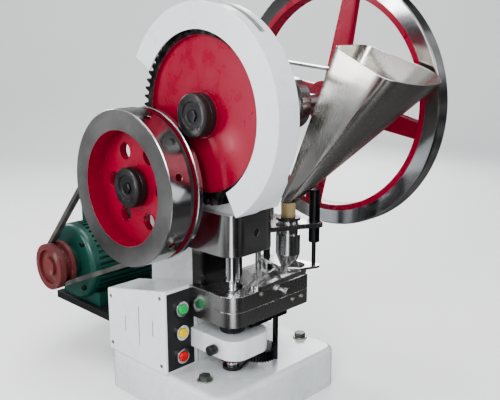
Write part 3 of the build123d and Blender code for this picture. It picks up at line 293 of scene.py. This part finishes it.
def pulley_mask(s):
    """Bright on the rim's outside and on the front ring, red elsewhere."""
    x = s.split()[0]
    r = s.radius(PINION)
    rim = s.math("GREATER_THAN", r, 0.1165)
    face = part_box("pulley")[0][0] + 0.0012
    front = s.math("MULTIPLY", s.math("GREATER_THAN", r, 0.0885), s.math("LESS_THAN", x, face))
    return s.math("MAXIMUM", rim, front)


def head_material():
    """Ground steel, with painted shade that darkens the back wall of the throat below the head."""
    s = Shader("head_finish", metallic=1.0)
    z = s.split()[2]
    # painted shade: colour falls to near black over the 12 mm below the head's underside, on the throat's back
    # wall
    throat_shade = s.span(z, HEAD_UNDERSIDE - 0.012, HEAD_UNDERSIDE, 1.0, 0.0)
    steel = s.mix(s.span(s.noise(11, 2, 0.5), 0.4, 0.72, 0.0, 0.35), STEEL, tuple(c * 0.7 for c in STEEL))
    # the mix below lays the painted throat shade over the steel tone
    s.colour(s.mix(throat_shade, steel, (0.10, 0.095, 0.095)))
    lay = s.noise(60, 4, 0.6, (1, 1, 18))
    s.rough(s.math("ADD", s.span(s.noise(13, 2), 0.35, 0.7, 0.14, 0.23), s.span(lay, 0.3, 0.7, -0.05, 0.05)))
    s.bump(lay, 0.08, 0.0002, 0.0008)
    return s.mat


def gear_material():
    """Red web inside a black, oily toothed rim."""
    s = Shader("gear_finish", roughness=0.3)
    mask = s.math("GREATER_THAN", s.radius(MAIN), 0.1125)
    tone = s.span(s.noise(7, 4), 0.35, 0.7)
    web = s.mix(s.math("MULTIPLY", tone, 0.5), RED, RED_DARK)
    teeth = s.mix(s.span(s.noise(80, 4), 0.45, 0.7), (0.02, 0.02, 0.021), (0.10, 0.095, 0.09))
    s.colour(s.mix(mask, web, teeth))
    s.metal(s.math("MULTIPLY", mask, 0.85))
    s.rough(s.span(s.noise(36, 4), 0.3, 0.7, 0.2, 0.42))
    s.bump(s.noise(190, 2), 0.16, 0.0004, 0.001)
    return s.mat


def neck_material():
    """Amber translucent tube above a black moulded collar."""
    s = Shader("neck_tube_finish", roughness=0.3)
    z = s.split()[2]
    collar = s.math("LESS_THAN", z, 0.3053)
    s.colour(s.mix(collar, s.mix(s.noise(60, 3), (0.72, 0.60, 0.34), (0.60, 0.46, 0.22)), (0.02, 0.02, 0.02)))
    s.link(s.math("MULTIPLY", s.math("SUBTRACT", 1.0, collar), 0.55), s.bsdf.inputs["Transmission Weight"])
    s.rough(s.span(s.noise(50, 3), 0.3, 0.7, 0.24, 0.42))
    s.bump(s.noise(150, 2), 0.12, 0.0003, 0.0006)
    return s.mat


def belt_material():
    """Cloth-wrapped rubber with rubbed flanks."""
    s = Shader("belt_rubber", roughness=0.75)
    s.colour(s.mix(s.span(s.noise(30, 4), 0.4, 0.7), (0.035, 0.034, 0.033), (0.09, 0.085, 0.08)))
    s.rough(s.span(s.noise(60, 3), 0.3, 0.7, 0.6, 0.85))
    s.bump(s.noise(700, 2, 0.5, (1, 0.4, 0.4)), 0.4, 0.0004, 0.0006)
    return s.mat


def knurled(name, axis_point, about, base, count, pitch, roughness=0.4):
    """Crossed knurl cut into a turned ring."""
    s = Shader(name, metallic=0.85, roughness=roughness)
    x, y, z = s.split()
    if about == "x":
        u, v, along = s.math("SUBTRACT", y, axis_point[1]), s.math("SUBTRACT", z, axis_point[2]), x
    else:
        u, v, along = s.math("SUBTRACT", x, axis_point[0]), s.math("SUBTRACT", y, axis_point[1]), z
    turn = s.math("MULTIPLY", s.math("ARCTAN2", v, u), float(count))
    run = s.math("MULTIPLY", along, 2 * pi / pitch)
    cut = s.math("MULTIPLY", s.math("SINE", s.math("ADD", turn, run)),
                 s.math("SINE", s.math("SUBTRACT", turn, run)))
    s.colour(s.mix(s.span(s.noise(60, 4), 0.4, 0.7), base, tuple(c * 2.2 for c in base)))
    s.bump(cut, 0.5, 0.0006, 0.0006)
    return s.mat


hopper_steel = hopper_metal()
wheel_finish = two_finish("wheel_finish", MAIN, wheel_mask, (0.68, 0.68, 0.69), RED)
pulley_finish = two_finish("pulley_finish", PINION, pulley_mask, (0.60, 0.60, 0.60), RED, steel_rough=0.16)
oxide = rust_red()
FINISH = {
    "base_casting": white, "column_casting": white, "front_cover": white, "lower_arm": white,
    "gear_guard": white_sheet, "control_box": white_sheet, "hold_down_bolts": bolt_dark, "cap_screws": plated,
    "head_block": head_material(), "upper_table": table_steel, "lower_table": table_steel, "die": chrome,
    "die_lock_screw": chrome, "guide_post": blackened, "lock_knob": black_plastic,
    "fill_ring": knurled("fill_ring_finish", PUNCH, "z", (0.04, 0.04, 0.042), 40, 0.003),
    "ejection_gear": oxide, "ejection_wheel": blackened, "wheel_spindle": plated, "lower_punch": chrome,
    "lower_punch_rod": rod_steel, "lift_forks": blackened, "lift_rod": rod_steel, "main_shaft": shaft_steel,
    "bearing_bushes": bronze, "big_gear": gear_material(), "gear_nut": black_enamel, "eccentric": shaft_steel,
    "eccentric_strap": bronze, "connecting_rod": rod_steel, "ram": rod_steel, "punch_holder": chrome,
    "upper_punch": chrome, "cam_drum": shaft_steel, "handwheel": wheel_finish, "handwheel_nut": blackened,
    "pinion_shaft": turned("pinion_shaft_finish", STEEL, PINION), "pinion": blackened,
    "pulley": pulley_finish, "pulley_cap": black_enamel,
    "motor_shaft": turned("motor_shaft_finish", STEEL, MOTOR), "motor_pulley": oxide,
    "v_belt": belt_material(), "motor_housing": green, "fan_cover": green, "motor_bracket": black_enamel,
    "box_panel": black_plastic, "button_bezels": chrome, "start_button": green_cap, "jog_button": yellow_cap,
    "stop_button": red_cap, "feeder_shoe": tray_steel, "feeder_plate": tray_steel,
    "feeder_lever_shaft": blackened, "feeder_bracket": table_steel, "feeder_boot": polished,
    "neck_tube": neck_material(), "hopper": hopper_steel, "hold_down_plunger": blackened,
    "hopper_stay": table_steel,
}
for name, obj in nodes.items():
    obj.data.materials.clear()
    obj.data.materials.append(FINISH[name])


# ------------------------------------------------------------------ mesh helpers
def mesh_object(name, bm, material, body, smooth=True):
    mesh = bpy.data.meshes.new(name)
    bm.normal_update()
    bm.to_mesh(mesh)
    bm.free()
    obj = bpy.data.objects.new(name, mesh)
    scene.collection.objects.link(obj)
    mesh.materials.append(material)
    if smooth:
        for p in mesh.polygons:
            p.use_smooth = True
        mesh.set_sharp_from_angle(angle=radians(32))
    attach(obj, body)
    return obj


def join_rings(bm, rings):
    """Quads between each ring of vertices and the next."""
    for a, b in zip(rings, rings[1:]):
        for i in range(len(a)):
            j = (i + 1) % len(a)
            bm.faces.new((a[i], a[j], b[j], b[i]))


def close_ends(bm, rings):
    bm.faces.new(rings[-1])
    bm.faces.new(list(reversed(rings[0])))


def lathe(name, profile, base, direction, material, body, steps=48):
    """Turns (radius, height) pairs about a line from base along direction."""
    bm = bmesh.new()
    turn = Vector(direction).normalized().to_track_quat("Z", "Y").to_matrix()
    rings = []
    for r, h in profile:
        if r < 1e-7:
            rings.append([bm.verts.new(Vector(base) + turn @ Vector((0, 0, h)))])
            continue
        around = [2 * pi * i / steps for i in range(steps)]
        rings.append([bm.verts.new(Vector(base) + turn @ Vector((r * cos(t), r * sin(t), h))) for t in around])
    for a, b in zip(rings, rings[1:]):
        for i in range(steps):
            j = (i + 1) % steps
            if len(a) == 1:
                bm.faces.new((a[0], b[i], b[j]))
            elif len(b) == 1:
                bm.faces.new((a[i], a[j], b[0]))
            else:
                bm.faces.new((a[i], a[j], b[j], b[i]))
    bmesh.ops.recalc_face_normals(bm, faces=bm.faces)
    return mesh_object(name, bm, material, body)


FLUSH = 0.0002                    # height of a screw that is sunk almost flush


def socket_screw(name, base, direction, r, material, body, height=None):
    """Cap screw with a chamfered head and a hexagon socket."""
    h = height or r * 1.1
    bm = bmesh.new()
    turn = Vector(direction).normalized().to_track_quat("Z", "Y").to_matrix()

    def ring(radius, z, hexagon=False):
        out = []
        for i in range(24):
            a = 2 * pi * i / 24
            k = radius
            if hexagon:
                k = radius * cos(pi / 6) / cos((a % (pi / 3)) - pi / 6)
            out.append(bm.verts.new(Vector(base) + turn @ Vector((k * cos(a), k * sin(a), z))))
        return out

    loops = [ring(r, 0), ring(r, h * 0.86), ring(r * 0.9, h), ring(r * 0.58, h, True),
             ring(r * 0.56, h * 0.45, True)]
    join_rings(bm, loops)
    close_ends(bm, loops)
    bmesh.ops.recalc_face_normals(bm, faces=bm.faces)
    return mesh_object(name, bm, material, body)


# ------------------------------------------------------------------ hopper: cone, lip and lapped seam
MOUTH_ORIGIN = Vector((0.110, -0.160, 0.580))
MOUTH_TILT = 17                   # degrees above level
MOUTH_BACK_LEFT, MOUTH_BACK_RIGHT, MOUTH_LEFT = (-24, 0), (58, 0), (-36, -12)    # mm on the mouth's plane
MOUTH_FRONT = ((58, -100), (-14, -178), (-94, -142))                             # the round front passes here
MOUTH_EASING = 14                 # smoothing passes
NECK_R, SHEET = 0.0129, 0.0014


def arc_through(a, b, c, steps):
    """Points on the clockwise arc from a through b to c."""
    d = 2 * (a.x * (b.y - c.y) + b.x * (c.y - a.y) + c.x * (a.y - b.y))
    aa, bb, cc = a.length_squared, b.length_squared, c.length_squared
    ux = (aa * (b.y - c.y) + bb * (c.y - a.y) + cc * (a.y - b.y)) / d
    uy = (aa * (c.x - b.x) + bb * (a.x - c.x) + cc * (b.x - a.x)) / d
    radius = (a - Vector((ux, uy))).length
    start, end = atan2(a.y - uy, a.x - ux), atan2(c.y - uy, c.x - ux)
    if end > start:
        end -= 2 * pi
    turns = [start + (end - start) * k / steps for k in range(steps + 1)]
    return [Vector((ux + radius * cos(t), uy + radius * sin(t))) for t in turns]


def mouth_points(count):
    """The D-shaped mouth on its sloping plane, evenly spaced, in the row frame."""
    tilt = radians(MOUTH_TILT)
    arc = arc_through(*(Vector(p) for p in MOUTH_FRONT), 60)
    outline = [Vector(MOUTH_BACK_LEFT), Vector(MOUTH_BACK_RIGHT), *arc, Vector(MOUTH_LEFT)]
    lengths = [0.0]
    closed = outline + outline[:1]
    for p, q in zip(closed, closed[1:]):
        lengths.append(lengths[-1] + (q - p).length)
    out = []
    for k in range(count):
        s = lengths[-1] * k / count
        i = max(j for j in range(len(outline)) if lengths[j] <= s + 1e-9)
        f = (s - lengths[i]) / max(lengths[i + 1] - lengths[i], 1e-9)
        p = closed[i].lerp(closed[i + 1], f)
        out.append(p)
    # ease the corners, as rolled sheet bends
    for _ in range(MOUTH_EASING):
        out = [(out[i - 1] + out[i] * 2 + out[(i + 1) % count]) / 4 for i in range(count)]
    plane = (cos(tilt), sin(tilt))
    return [MOUTH_ORIGIN + Vector((p.x / 1000, p.y / 1000 * plane[0], p.y / 1000 * plane[1])) for p in out]


def build_hopper():
    count, rows = 144, 26
    mouth = mouth_points(count)
    neck_centre = centre("neck_tube")
    neck_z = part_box("neck_tube")[1][2]
    mouth_centre = sum(mouth, Vector()) / count
    angles = [atan2(p.y - mouth_centre.y, p.x - mouth_centre.x) for p in mouth]
    neck_mid = Vector((neck_centre.x, neck_centre.y, neck_z))
    neck = [Vector((neck_mid.x + NECK_R * cos(a), neck_mid.y + NECK_R * sin(a), neck_z)) for a in angles]
    lip_in = [p + (mouth_centre - p).normalized() * 0.0016 for p in mouth]
    neck_in = [p + (neck_mid - p).normalized() * SHEET for p in neck]
    bm = bmesh.new()
    loops = []
    for k in range(rows):
        t = k / (rows - 1)
        loops.append([bm.verts.new(neck[i].lerp(mouth[i], t)) for i in range(count)])
    crest = Vector((0, -0.0001, 0.0004))
    loops.append([bm.verts.new(mouth[i].lerp(lip_in[i], 0.5) + crest) for i in range(count)])
    for k in range(rows):
        t = 1 - k / (rows - 1)
        loops.append([bm.verts.new(neck_in[i].lerp(lip_in[i], t)) for i in range(count)])
    join_rings(bm, loops)
    join_rings(bm, [loops[-1], loops[0]])
    bmesh.ops.recalc_face_normals(bm, faces=bm.faces)
    shell = mesh_object("hopper_shell", bm, hopper_steel, "frame")
    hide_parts("hopper")
    # lapped seam at the back of the cone
    bm = bmesh.new()
    back = [n for n in range(count) if mouth[n].y > mouth_centre.y]
    i = min(back, key=lambda n: abs(mouth[n].x - mouth_centre.x))
    j = (i + 3) % count
    quad = []
    for t in (0.06, 0.985):
        for n in (i, j):
            p = neck[n].lerp(mouth[n], t)
            out = (p - neck_centre.lerp(mouth_centre, t)).normalized() * 0.0007
            quad.append((p + out, p))
    vs = [bm.verts.new(q[0]) for q in quad] + [bm.verts.new(q[1]) for q in quad]
    for f in ((0, 1, 3, 2), (4, 6, 7, 5), (0, 2, 6, 4), (1, 5, 7, 3), (2, 3, 7, 6), (0, 4, 5, 1)):
        bm.faces.new([vs[n] for n in f])
    bmesh.ops.recalc_face_normals(bm, faces=bm.faces)
    mesh_object("hopper_seam", bm, hopper_steel, "frame", smooth=False)


build_hopper()

# ------------------------------------------------------------------ washers, bolts and screws
BOLT_X, BOLT_Y = (-0.108, 0.120), (-0.073, 0.073)
WASHER = [(0.0064, 0), (0.0125, 0), (0.0125, 0.0016), (0.0120, 0.0021), (0.0064, 0.0021), (0.0064, 0)]
GUARD_SCREW_R, GUARD_SCREW_TURNS, GUARD_SCREW_SPREAD = 0.0600, (66, 118, 190), 4.5
BOX_SCREWS = ((-0.006, 0.082), (-0.006, 0.196), (0.126, 0.082), (0.126, 0.166))    # Y and Z on the side panel

base_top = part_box("base_casting")[1][2]
for ix, x in enumerate(BOLT_X):
    for iy, y in enumerate(BOLT_Y):
        lathe(f"bolt_washer_{ix}{iy}", WASHER, (x, y, base_top), (0, 0, 1), plated, "frame",
              40)
guard_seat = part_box("column_casting")[0][0] - 0.002
for k, turn in enumerate(GUARD_SCREW_TURNS):
    for n, lean in enumerate((GUARD_SCREW_SPREAD, -GUARD_SCREW_SPREAD)):
        a = radians(turn + lean)
        spot = (guard_seat, MAIN.y + GUARD_SCREW_R * cos(a), MAIN.z + GUARD_SCREW_R * sin(a))
        socket_screw(f"guard_screw_{k}{n}", spot, (-1, 0, 0), 0.0035, plated, "frame")
box_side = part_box("control_box")[0][0]
for k, (y, z) in enumerate(BOX_SCREWS):
    socket_screw(f"box_screw_{k}", (box_side, y, z), (-1, 0, 0), 0.0032, plated, "frame",
                 FLUSH)

# ------------------------------------------------------------------ motor: end bell screws and boss
BELL_SCREW_R = 0.060
bell_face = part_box("motor_housing")[0][0]
for k in range(4):
    a = radians(45 + 90 * k)
    spot = (bell_face, MOTOR.y + BELL_SCREW_R * cos(a), MOTOR.z + BELL_SCREW_R * sin(a))
    socket_screw(f"bell_screw_{k}", spot, (-1, 0, 0), 0.0045, blackened, "frame")
lathe("bell_boss", [(0.0096, 0), (0.030, 0), (0.030, 0.006), (0.028, 0.008), (0.0096, 0.008), (0.0096, 0)],
      (bell_face, MOTOR.y, MOTOR.z), (-1, 0, 0), green, "frame", 64)

# ------------------------------------------------------------------ hub nuts, oil cups, slot liner, motor eye
def hexagon_bolt(name, base, direction, r, h, material, body):
    """Chamfered hexagon head standing on a round washer face."""
    bm = bmesh.new()
    turn = Vector(direction).normalized().to_track_quat("Z", "Y").to_matrix()
    loops = []
    section = ((0.92, 0, False), (0.92, 0.0008, False), (1.0, 0.0008, True), (1.0, h * 0.84, True),
               (0.86, h, False), (0.5, h, False))
    for scale, z, hexed in section:
        loop = []
        for i in range(48):
            a = 2 * pi * i / 48
            k = r * scale * 0.87
            if hexed:
                k = r * cos(pi / 6) / cos((a % (pi / 3)) - pi / 6)
            loop.append(bm.verts.new(Vector(base) + turn @ Vector((k * cos(a), k * sin(a), z))))
        loops.append(loop)
    join_rings(bm, loops)
    close_ends(bm, loops)
    bmesh.ops.recalc_face_normals(bm, faces=bm.faces)
    return mesh_object(name, bm, material, body)


def pin_spanner_cap(name, node, axis_at, body, r):
    """Round nut with a stepped face, four rimmed spanner holes and a central bolt."""
    low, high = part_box(node)
    face = (low[0], axis_at.y, axis_at.z)
    depth = high[0] - low[0]
    profile = [(0.0, 0.0030), (r * 0.42, 0.0030), (r * 0.44, 0.0022), (r * 0.60, 0.0022), (r * 0.62, 0.0),
               (r * 0.90, 0.0), (r * 0.97, 0.0012), (r, 0.0036), (r, depth * 0.42), (r * 0.985, depth * 0.45),
               (r * 0.985, depth * 0.55), (r, depth * 0.58), (r, depth), (0.0, depth)]
    cap = lathe(name, profile, face, (1, 0, 0), black_enamel, body, 72)
    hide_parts(node)
    hexagon_bolt(f"{name}_bolt", (face[0] + 0.0030, axis_at.y, axis_at.z), (-1, 0, 0), r * 0.30, 0.0028,
                 blackened, body)
    rim = [(0.0030, 0), (0.0040, 0.0001), (0.0040, 0.0005), (0.0030, 0.0005), (0.0030, 0)]
    for k in range(4):
        a = radians(45 + 90 * k)
        spot = (face[0] + 0.0005, axis_at.y + r * 0.76 * cos(a), axis_at.z + r * 0.76 * sin(a))
        lathe(f"{name}_hole_{k}", rim, spot, (-1, 0, 0), blackened, body, 20)


pin_spanner_cap("gear_cap", "gear_nut", MAIN, "main_shaft_group", 0.032)
pin_spanner_cap("pulley_hub_cap", "pulley_cap", PINION, "pinion_group", 0.031)


def oil_cup(name, base):
    profile = [(0, 0), (0.0052, 0), (0.0052, 0.003), (0.0030, 0.0042), (0.0030, 0.0065), (0.0058, 0.0075),
               (0.0062, 0.0125), (0.0052, 0.0150), (0.0018, 0.0158), (0, 0.0158)]
    lathe(name, profile, base, (0, 0, 1), bronze, "frame", 32)


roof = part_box("column_casting")[1][2]
oil_cup("oil_cup_left", (-0.058, MAIN.y, roof))
oil_cup("oil_cup_right", (0.0, MAIN.y, roof))

# grey liner seen through the guard's slot
LINER_SECTION = ((-0.0995, 0.1555), (-0.0845, 0.1555), (-0.0845, 0.1547), (-0.0995, 0.1547))    # X and radius
bm = bmesh.new()
strip = []
for k in range(25):
    a = radians(96 + 39 * k / 24)
    row = []
    for x, r in LINER_SECTION:
        row.append(bm.verts.new((x, MAIN.y + r * cos(a), MAIN.z + r * sin(a))))
    strip.append(row)
join_rings(bm, strip)
bm.faces.new(strip[0])
bm.faces.new(list(reversed(strip[-1])))
bmesh.ops.recalc_face_normals(bm, faces=bm.faces)
mesh_object("guard_slot_liner", bm, plated, "frame")

# lifting eye on the motor and the terminal box's lid screws
EYE_R, EYE_WIRE, EYE_STEPS, WIRE_STEPS = 0.0085, 0.0026, 32, 12
bm = bmesh.new()
eye_at = Vector((0.044, MOTOR.y, MOTOR.z + 0.0735))
loops = []
for i in range(EYE_STEPS):
    a = 2 * pi * i / EYE_STEPS
    ring_mid = eye_at + Vector((0, EYE_R * cos(a), 0.0105 + EYE_R * sin(a)))
    outward = Vector((0, cos(a), sin(a)))
    around = [2 * pi * k / WIRE_STEPS for k in range(WIRE_STEPS)]
    loops.append([bm.verts.new(ring_mid + outward * EYE_WIRE * cos(t) + Vector((EYE_WIRE * sin(t), 0, 0)))
                  for t in around])
join_rings(bm, loops + loops[:1])
bmesh.ops.recalc_face_normals(bm, faces=bm.faces)
mesh_object("motor_eye", bm, blackened, "frame")
terminal_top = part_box("motor_housing")[1][2]
lid = Vector((-0.020, MOTOR.y, terminal_top - 0.0001))
for k, (dx, dy) in enumerate(((-1, -1), (1, -1), (-1, 1), (1, 1))):
    socket_screw(f"terminal_screw_{k}", lid + Vector((0.032 * dx, 0.026 * dy, 0)), (0, 0, 1), 0.0026,
                 plated, "frame", FLUSH)

head_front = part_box("head_block")[0][1]
head_hole = (PUNCH.x + 0.008, head_front + 0.0072, HEAD_UNDERSIDE + 0.032)
# black enamel screw sunk 4 mm inside the head's front hole: a set screw whose black finish also serves as
# painted shade inside the hole
socket_screw("head_hole_shade_screw", head_hole, (0, -1, 0), 0.0050, black_enamel, "frame", 0.003)

# ------------------------------------------------------------------ floor, lights and camera
def stage_material(name, colour, rough):
    s = Shader(name, roughness=rough, specular=0.3)
    s.colour(s.mix(s.span(s.noise(2.5, 3), 0.3, 0.7, 0.0, 0.4), colour, tuple(c * 0.97 for c in colour)))
    s.bump(s.noise(60, 2), 0.03, 0.0005, 0.0)
    return s


# a floor that curves up into a wall behind the object, as seen from the camera
DIAGONAL = 0.7071
AWAY, SIDE = Vector((DIAGONAL, DIAGONAL, 0)), Vector((DIAGONAL, -DIAGONAL, 0))
FLAT_ROWS, CURVE_ROWS, ALL_ROWS = 14, 30, 40
COVE_START, COVE_R = 2.26, 1.2
bm = bmesh.new()
rows = []
for k in range(ALL_ROWS):
    if k < FLAT_ROWS:
        d, h = -3.2 + k * 0.42, 0.0
    elif k < CURVE_ROWS:
        a = (k - 13) / 17 * pi / 2
        d, h = COVE_START + COVE_R * sin(a), COVE_R - COVE_R * cos(a)
    else:
        d, h = COVE_START + COVE_R, COVE_R + (k - 29) * 0.45
    rows.append([bm.verts.new(AWAY * d + SIDE * w + Vector((0, 0, h))) for w in (-6, -2, 2, 6)])
for a, b in zip(rows, rows[1:]):
    for i in range(3):
        bm.faces.new((a[i], a[i + 1], b[i + 1], b[i]))
floor_mesh = bpy.data.meshes.new("studio_floor")
bm.to_mesh(floor_mesh)
bm.free()
floor = bpy.data.objects.new("studio_floor", floor_mesh)
scene.collection.objects.link(floor)
# metal reflects a darker room than the pale floor that the camera sees: light at the rear left, dark at
# the front right, with one bright strip toward the operator
fs = stage_material("studio_floor", (0.86, 0.865, 0.87), 0.6)
ray = fs.tree.nodes.new("ShaderNodeLightPath")
room = fs.tree.nodes.new("ShaderNodeEmission")
x, y = fs.split()[:2]
right = fs.math("MULTIPLY", fs.math("SUBTRACT", x, y), DIAGONAL)
ahead = fs.math("MULTIPLY", fs.math("ADD", x, y), -DIAGONAL)
level = fs.span(right, -0.9, 0.25, 0.30, 0.07)
patches = fs.span(fs.noise(1.6, 2), 0.40, 0.60, 0.25, 1.5)
strip_across = fs.span(fs.math("ABSOLUTE", right), 0.07, 0.17, 1.6, 0.0)
strip = fs.math("MULTIPLY", strip_across, fs.span(ahead, 0.45, 0.6))
fs.link(fs.math("ADD", fs.math("MULTIPLY", level, patches), strip), room.inputs["Strength"])
choose = fs.tree.nodes.new("ShaderNodeMixShader")
fs.link(ray.outputs["Is Glossy Ray"], choose.inputs["Fac"])
fs.link(fs.bsdf.outputs["BSDF"], choose.inputs[1])
fs.link(room.outputs["Emission"], choose.inputs[2])
fs.link(choose.outputs["Shader"], fs.tree.nodes["Material Output"].inputs["Surface"])
floor_mesh.materials.append(fs.mat)
for p in floor_mesh.polygons:
    p.use_smooth = True


def area_light(name, at, look, size, power, tint=(1, 1, 1), size_y=None):
    data = bpy.data.lights.new(name, "AREA")
    data.energy = power
    data.color = tint
    data.size = size
    if size_y:
        data.shape = "RECTANGLE"
        data.size_y = size_y
    obj = bpy.data.objects.new(name, data)
    obj.location = at
    obj.rotation_euler = (Vector(look) - Vector(at)).to_track_quat("-Z", "Y").to_euler()
    scene.collection.objects.link(obj)


area_light("key_light", (-2.1, -0.9, 1.7), (0, 0, 0.35), 0.9, 36, (1.0, 0.99, 0.97), 1.4)
area_light("nose_strip", (-1.15, -1.35, 0.75), (0, 0, 0.3), 0.16, 5.5, (1, 1, 1), 1.5)
area_light("front_light", (0.9, -2.3, 1.7), (0, 0, 0.3), 0.7, 15, (0.97, 0.985, 1.0), 0.9)
area_light("top_light", (0.0, 0.2, 2.3), (0, 0, 0.3), 1.6, 24)
area_light("left_strip", (-1.7, 0.9, 0.8), (0, 0, 0.35), 0.35, 12, (1, 1, 1), 1.6)
area_light("rim_light", (1.9, 1.2, 1.2), (0, 0, 0.4), 0.6, 16, (1, 1, 1), 1.6)
area_light("back_light", (-0.3, 2.3, 1.3), (0, 0, 0.3), 0.9, 12)

world = bpy.data.worlds.new("studio")
scene.world = world
world.use_nodes = True
wt = world.node_tree
coord = wt.nodes.new("ShaderNodeTexCoord")
sep = wt.nodes.new("ShaderNodeSeparateXYZ")
ramp = wt.nodes.new("ShaderNodeValToRGB")
wt.links.new(coord.outputs["Generated"], sep.inputs[0])
cloud = wt.nodes.new("ShaderNodeTexNoise")
cloud.inputs["Scale"].default_value = 1.7
cloud.inputs["Detail"].default_value = 2
wt.links.new(coord.outputs["Generated"], cloud.inputs["Vector"])
lift = wt.nodes.new("ShaderNodeMath")
lift.operation = "MULTIPLY_ADD"
wt.links.new(cloud.outputs["Fac"], lift.inputs[0])
lift.inputs[1].default_value = 0.9
wt.links.new(sep.outputs["Z"], lift.inputs[2])
span = wt.nodes.new("ShaderNodeMapRange")
span.inputs["From Min"].default_value = -0.55
span.inputs["From Max"].default_value = 1.45
wt.links.new(lift.outputs[0], span.inputs["Value"])
wt.links.new(span.outputs["Result"], ramp.inputs["Fac"])
stops = ((0.0, 0.20), (0.44, 0.26), (0.50, 0.07), (0.60, 0.05), (0.74, 0.55), (1.0, 0.9))
while len(ramp.color_ramp.elements) < len(stops):
    ramp.color_ramp.elements.new(0.5)
for element, (where, level) in zip(ramp.color_ramp.elements, stops):
    element.position = where
    element.color = (level, level, level * 1.01, 1)
path = wt.nodes.new("ShaderNodeLightPath")
pick = wt.nodes.new("ShaderNodeMix")
pick.data_type = "RGBA"
wt.links.new(path.outputs["Is Glossy Ray"], pick.inputs["Factor"])
pick.inputs[6].default_value = (0.72, 0.73, 0.745, 1)
wt.links.new(ramp.outputs["Color"], pick.inputs[7])
wt.links.new(pick.outputs[2], wt.nodes["Background"].inputs["Color"])
wt.nodes["Background"].inputs["Strength"].default_value = 0.75

camera_data = bpy.data.cameras.new("camera")
camera_data.lens = 50.97
camera_data.sensor_width = 36
camera = bpy.data.objects.new("camera", camera_data)
camera.location = (-0.783, -0.830, 0.595)
camera.rotation_euler = Vector((0.6969, 0.6802, -0.2272)).to_track_quat("-Z", "Y").to_euler()
scene.collection.objects.link(camera)
scene.camera = camera
scene.view_settings.view_transform = "AgX"
scene.view_settings.look = "AgX - Medium High Contrast"
scene.view_settings.exposure = 0.15
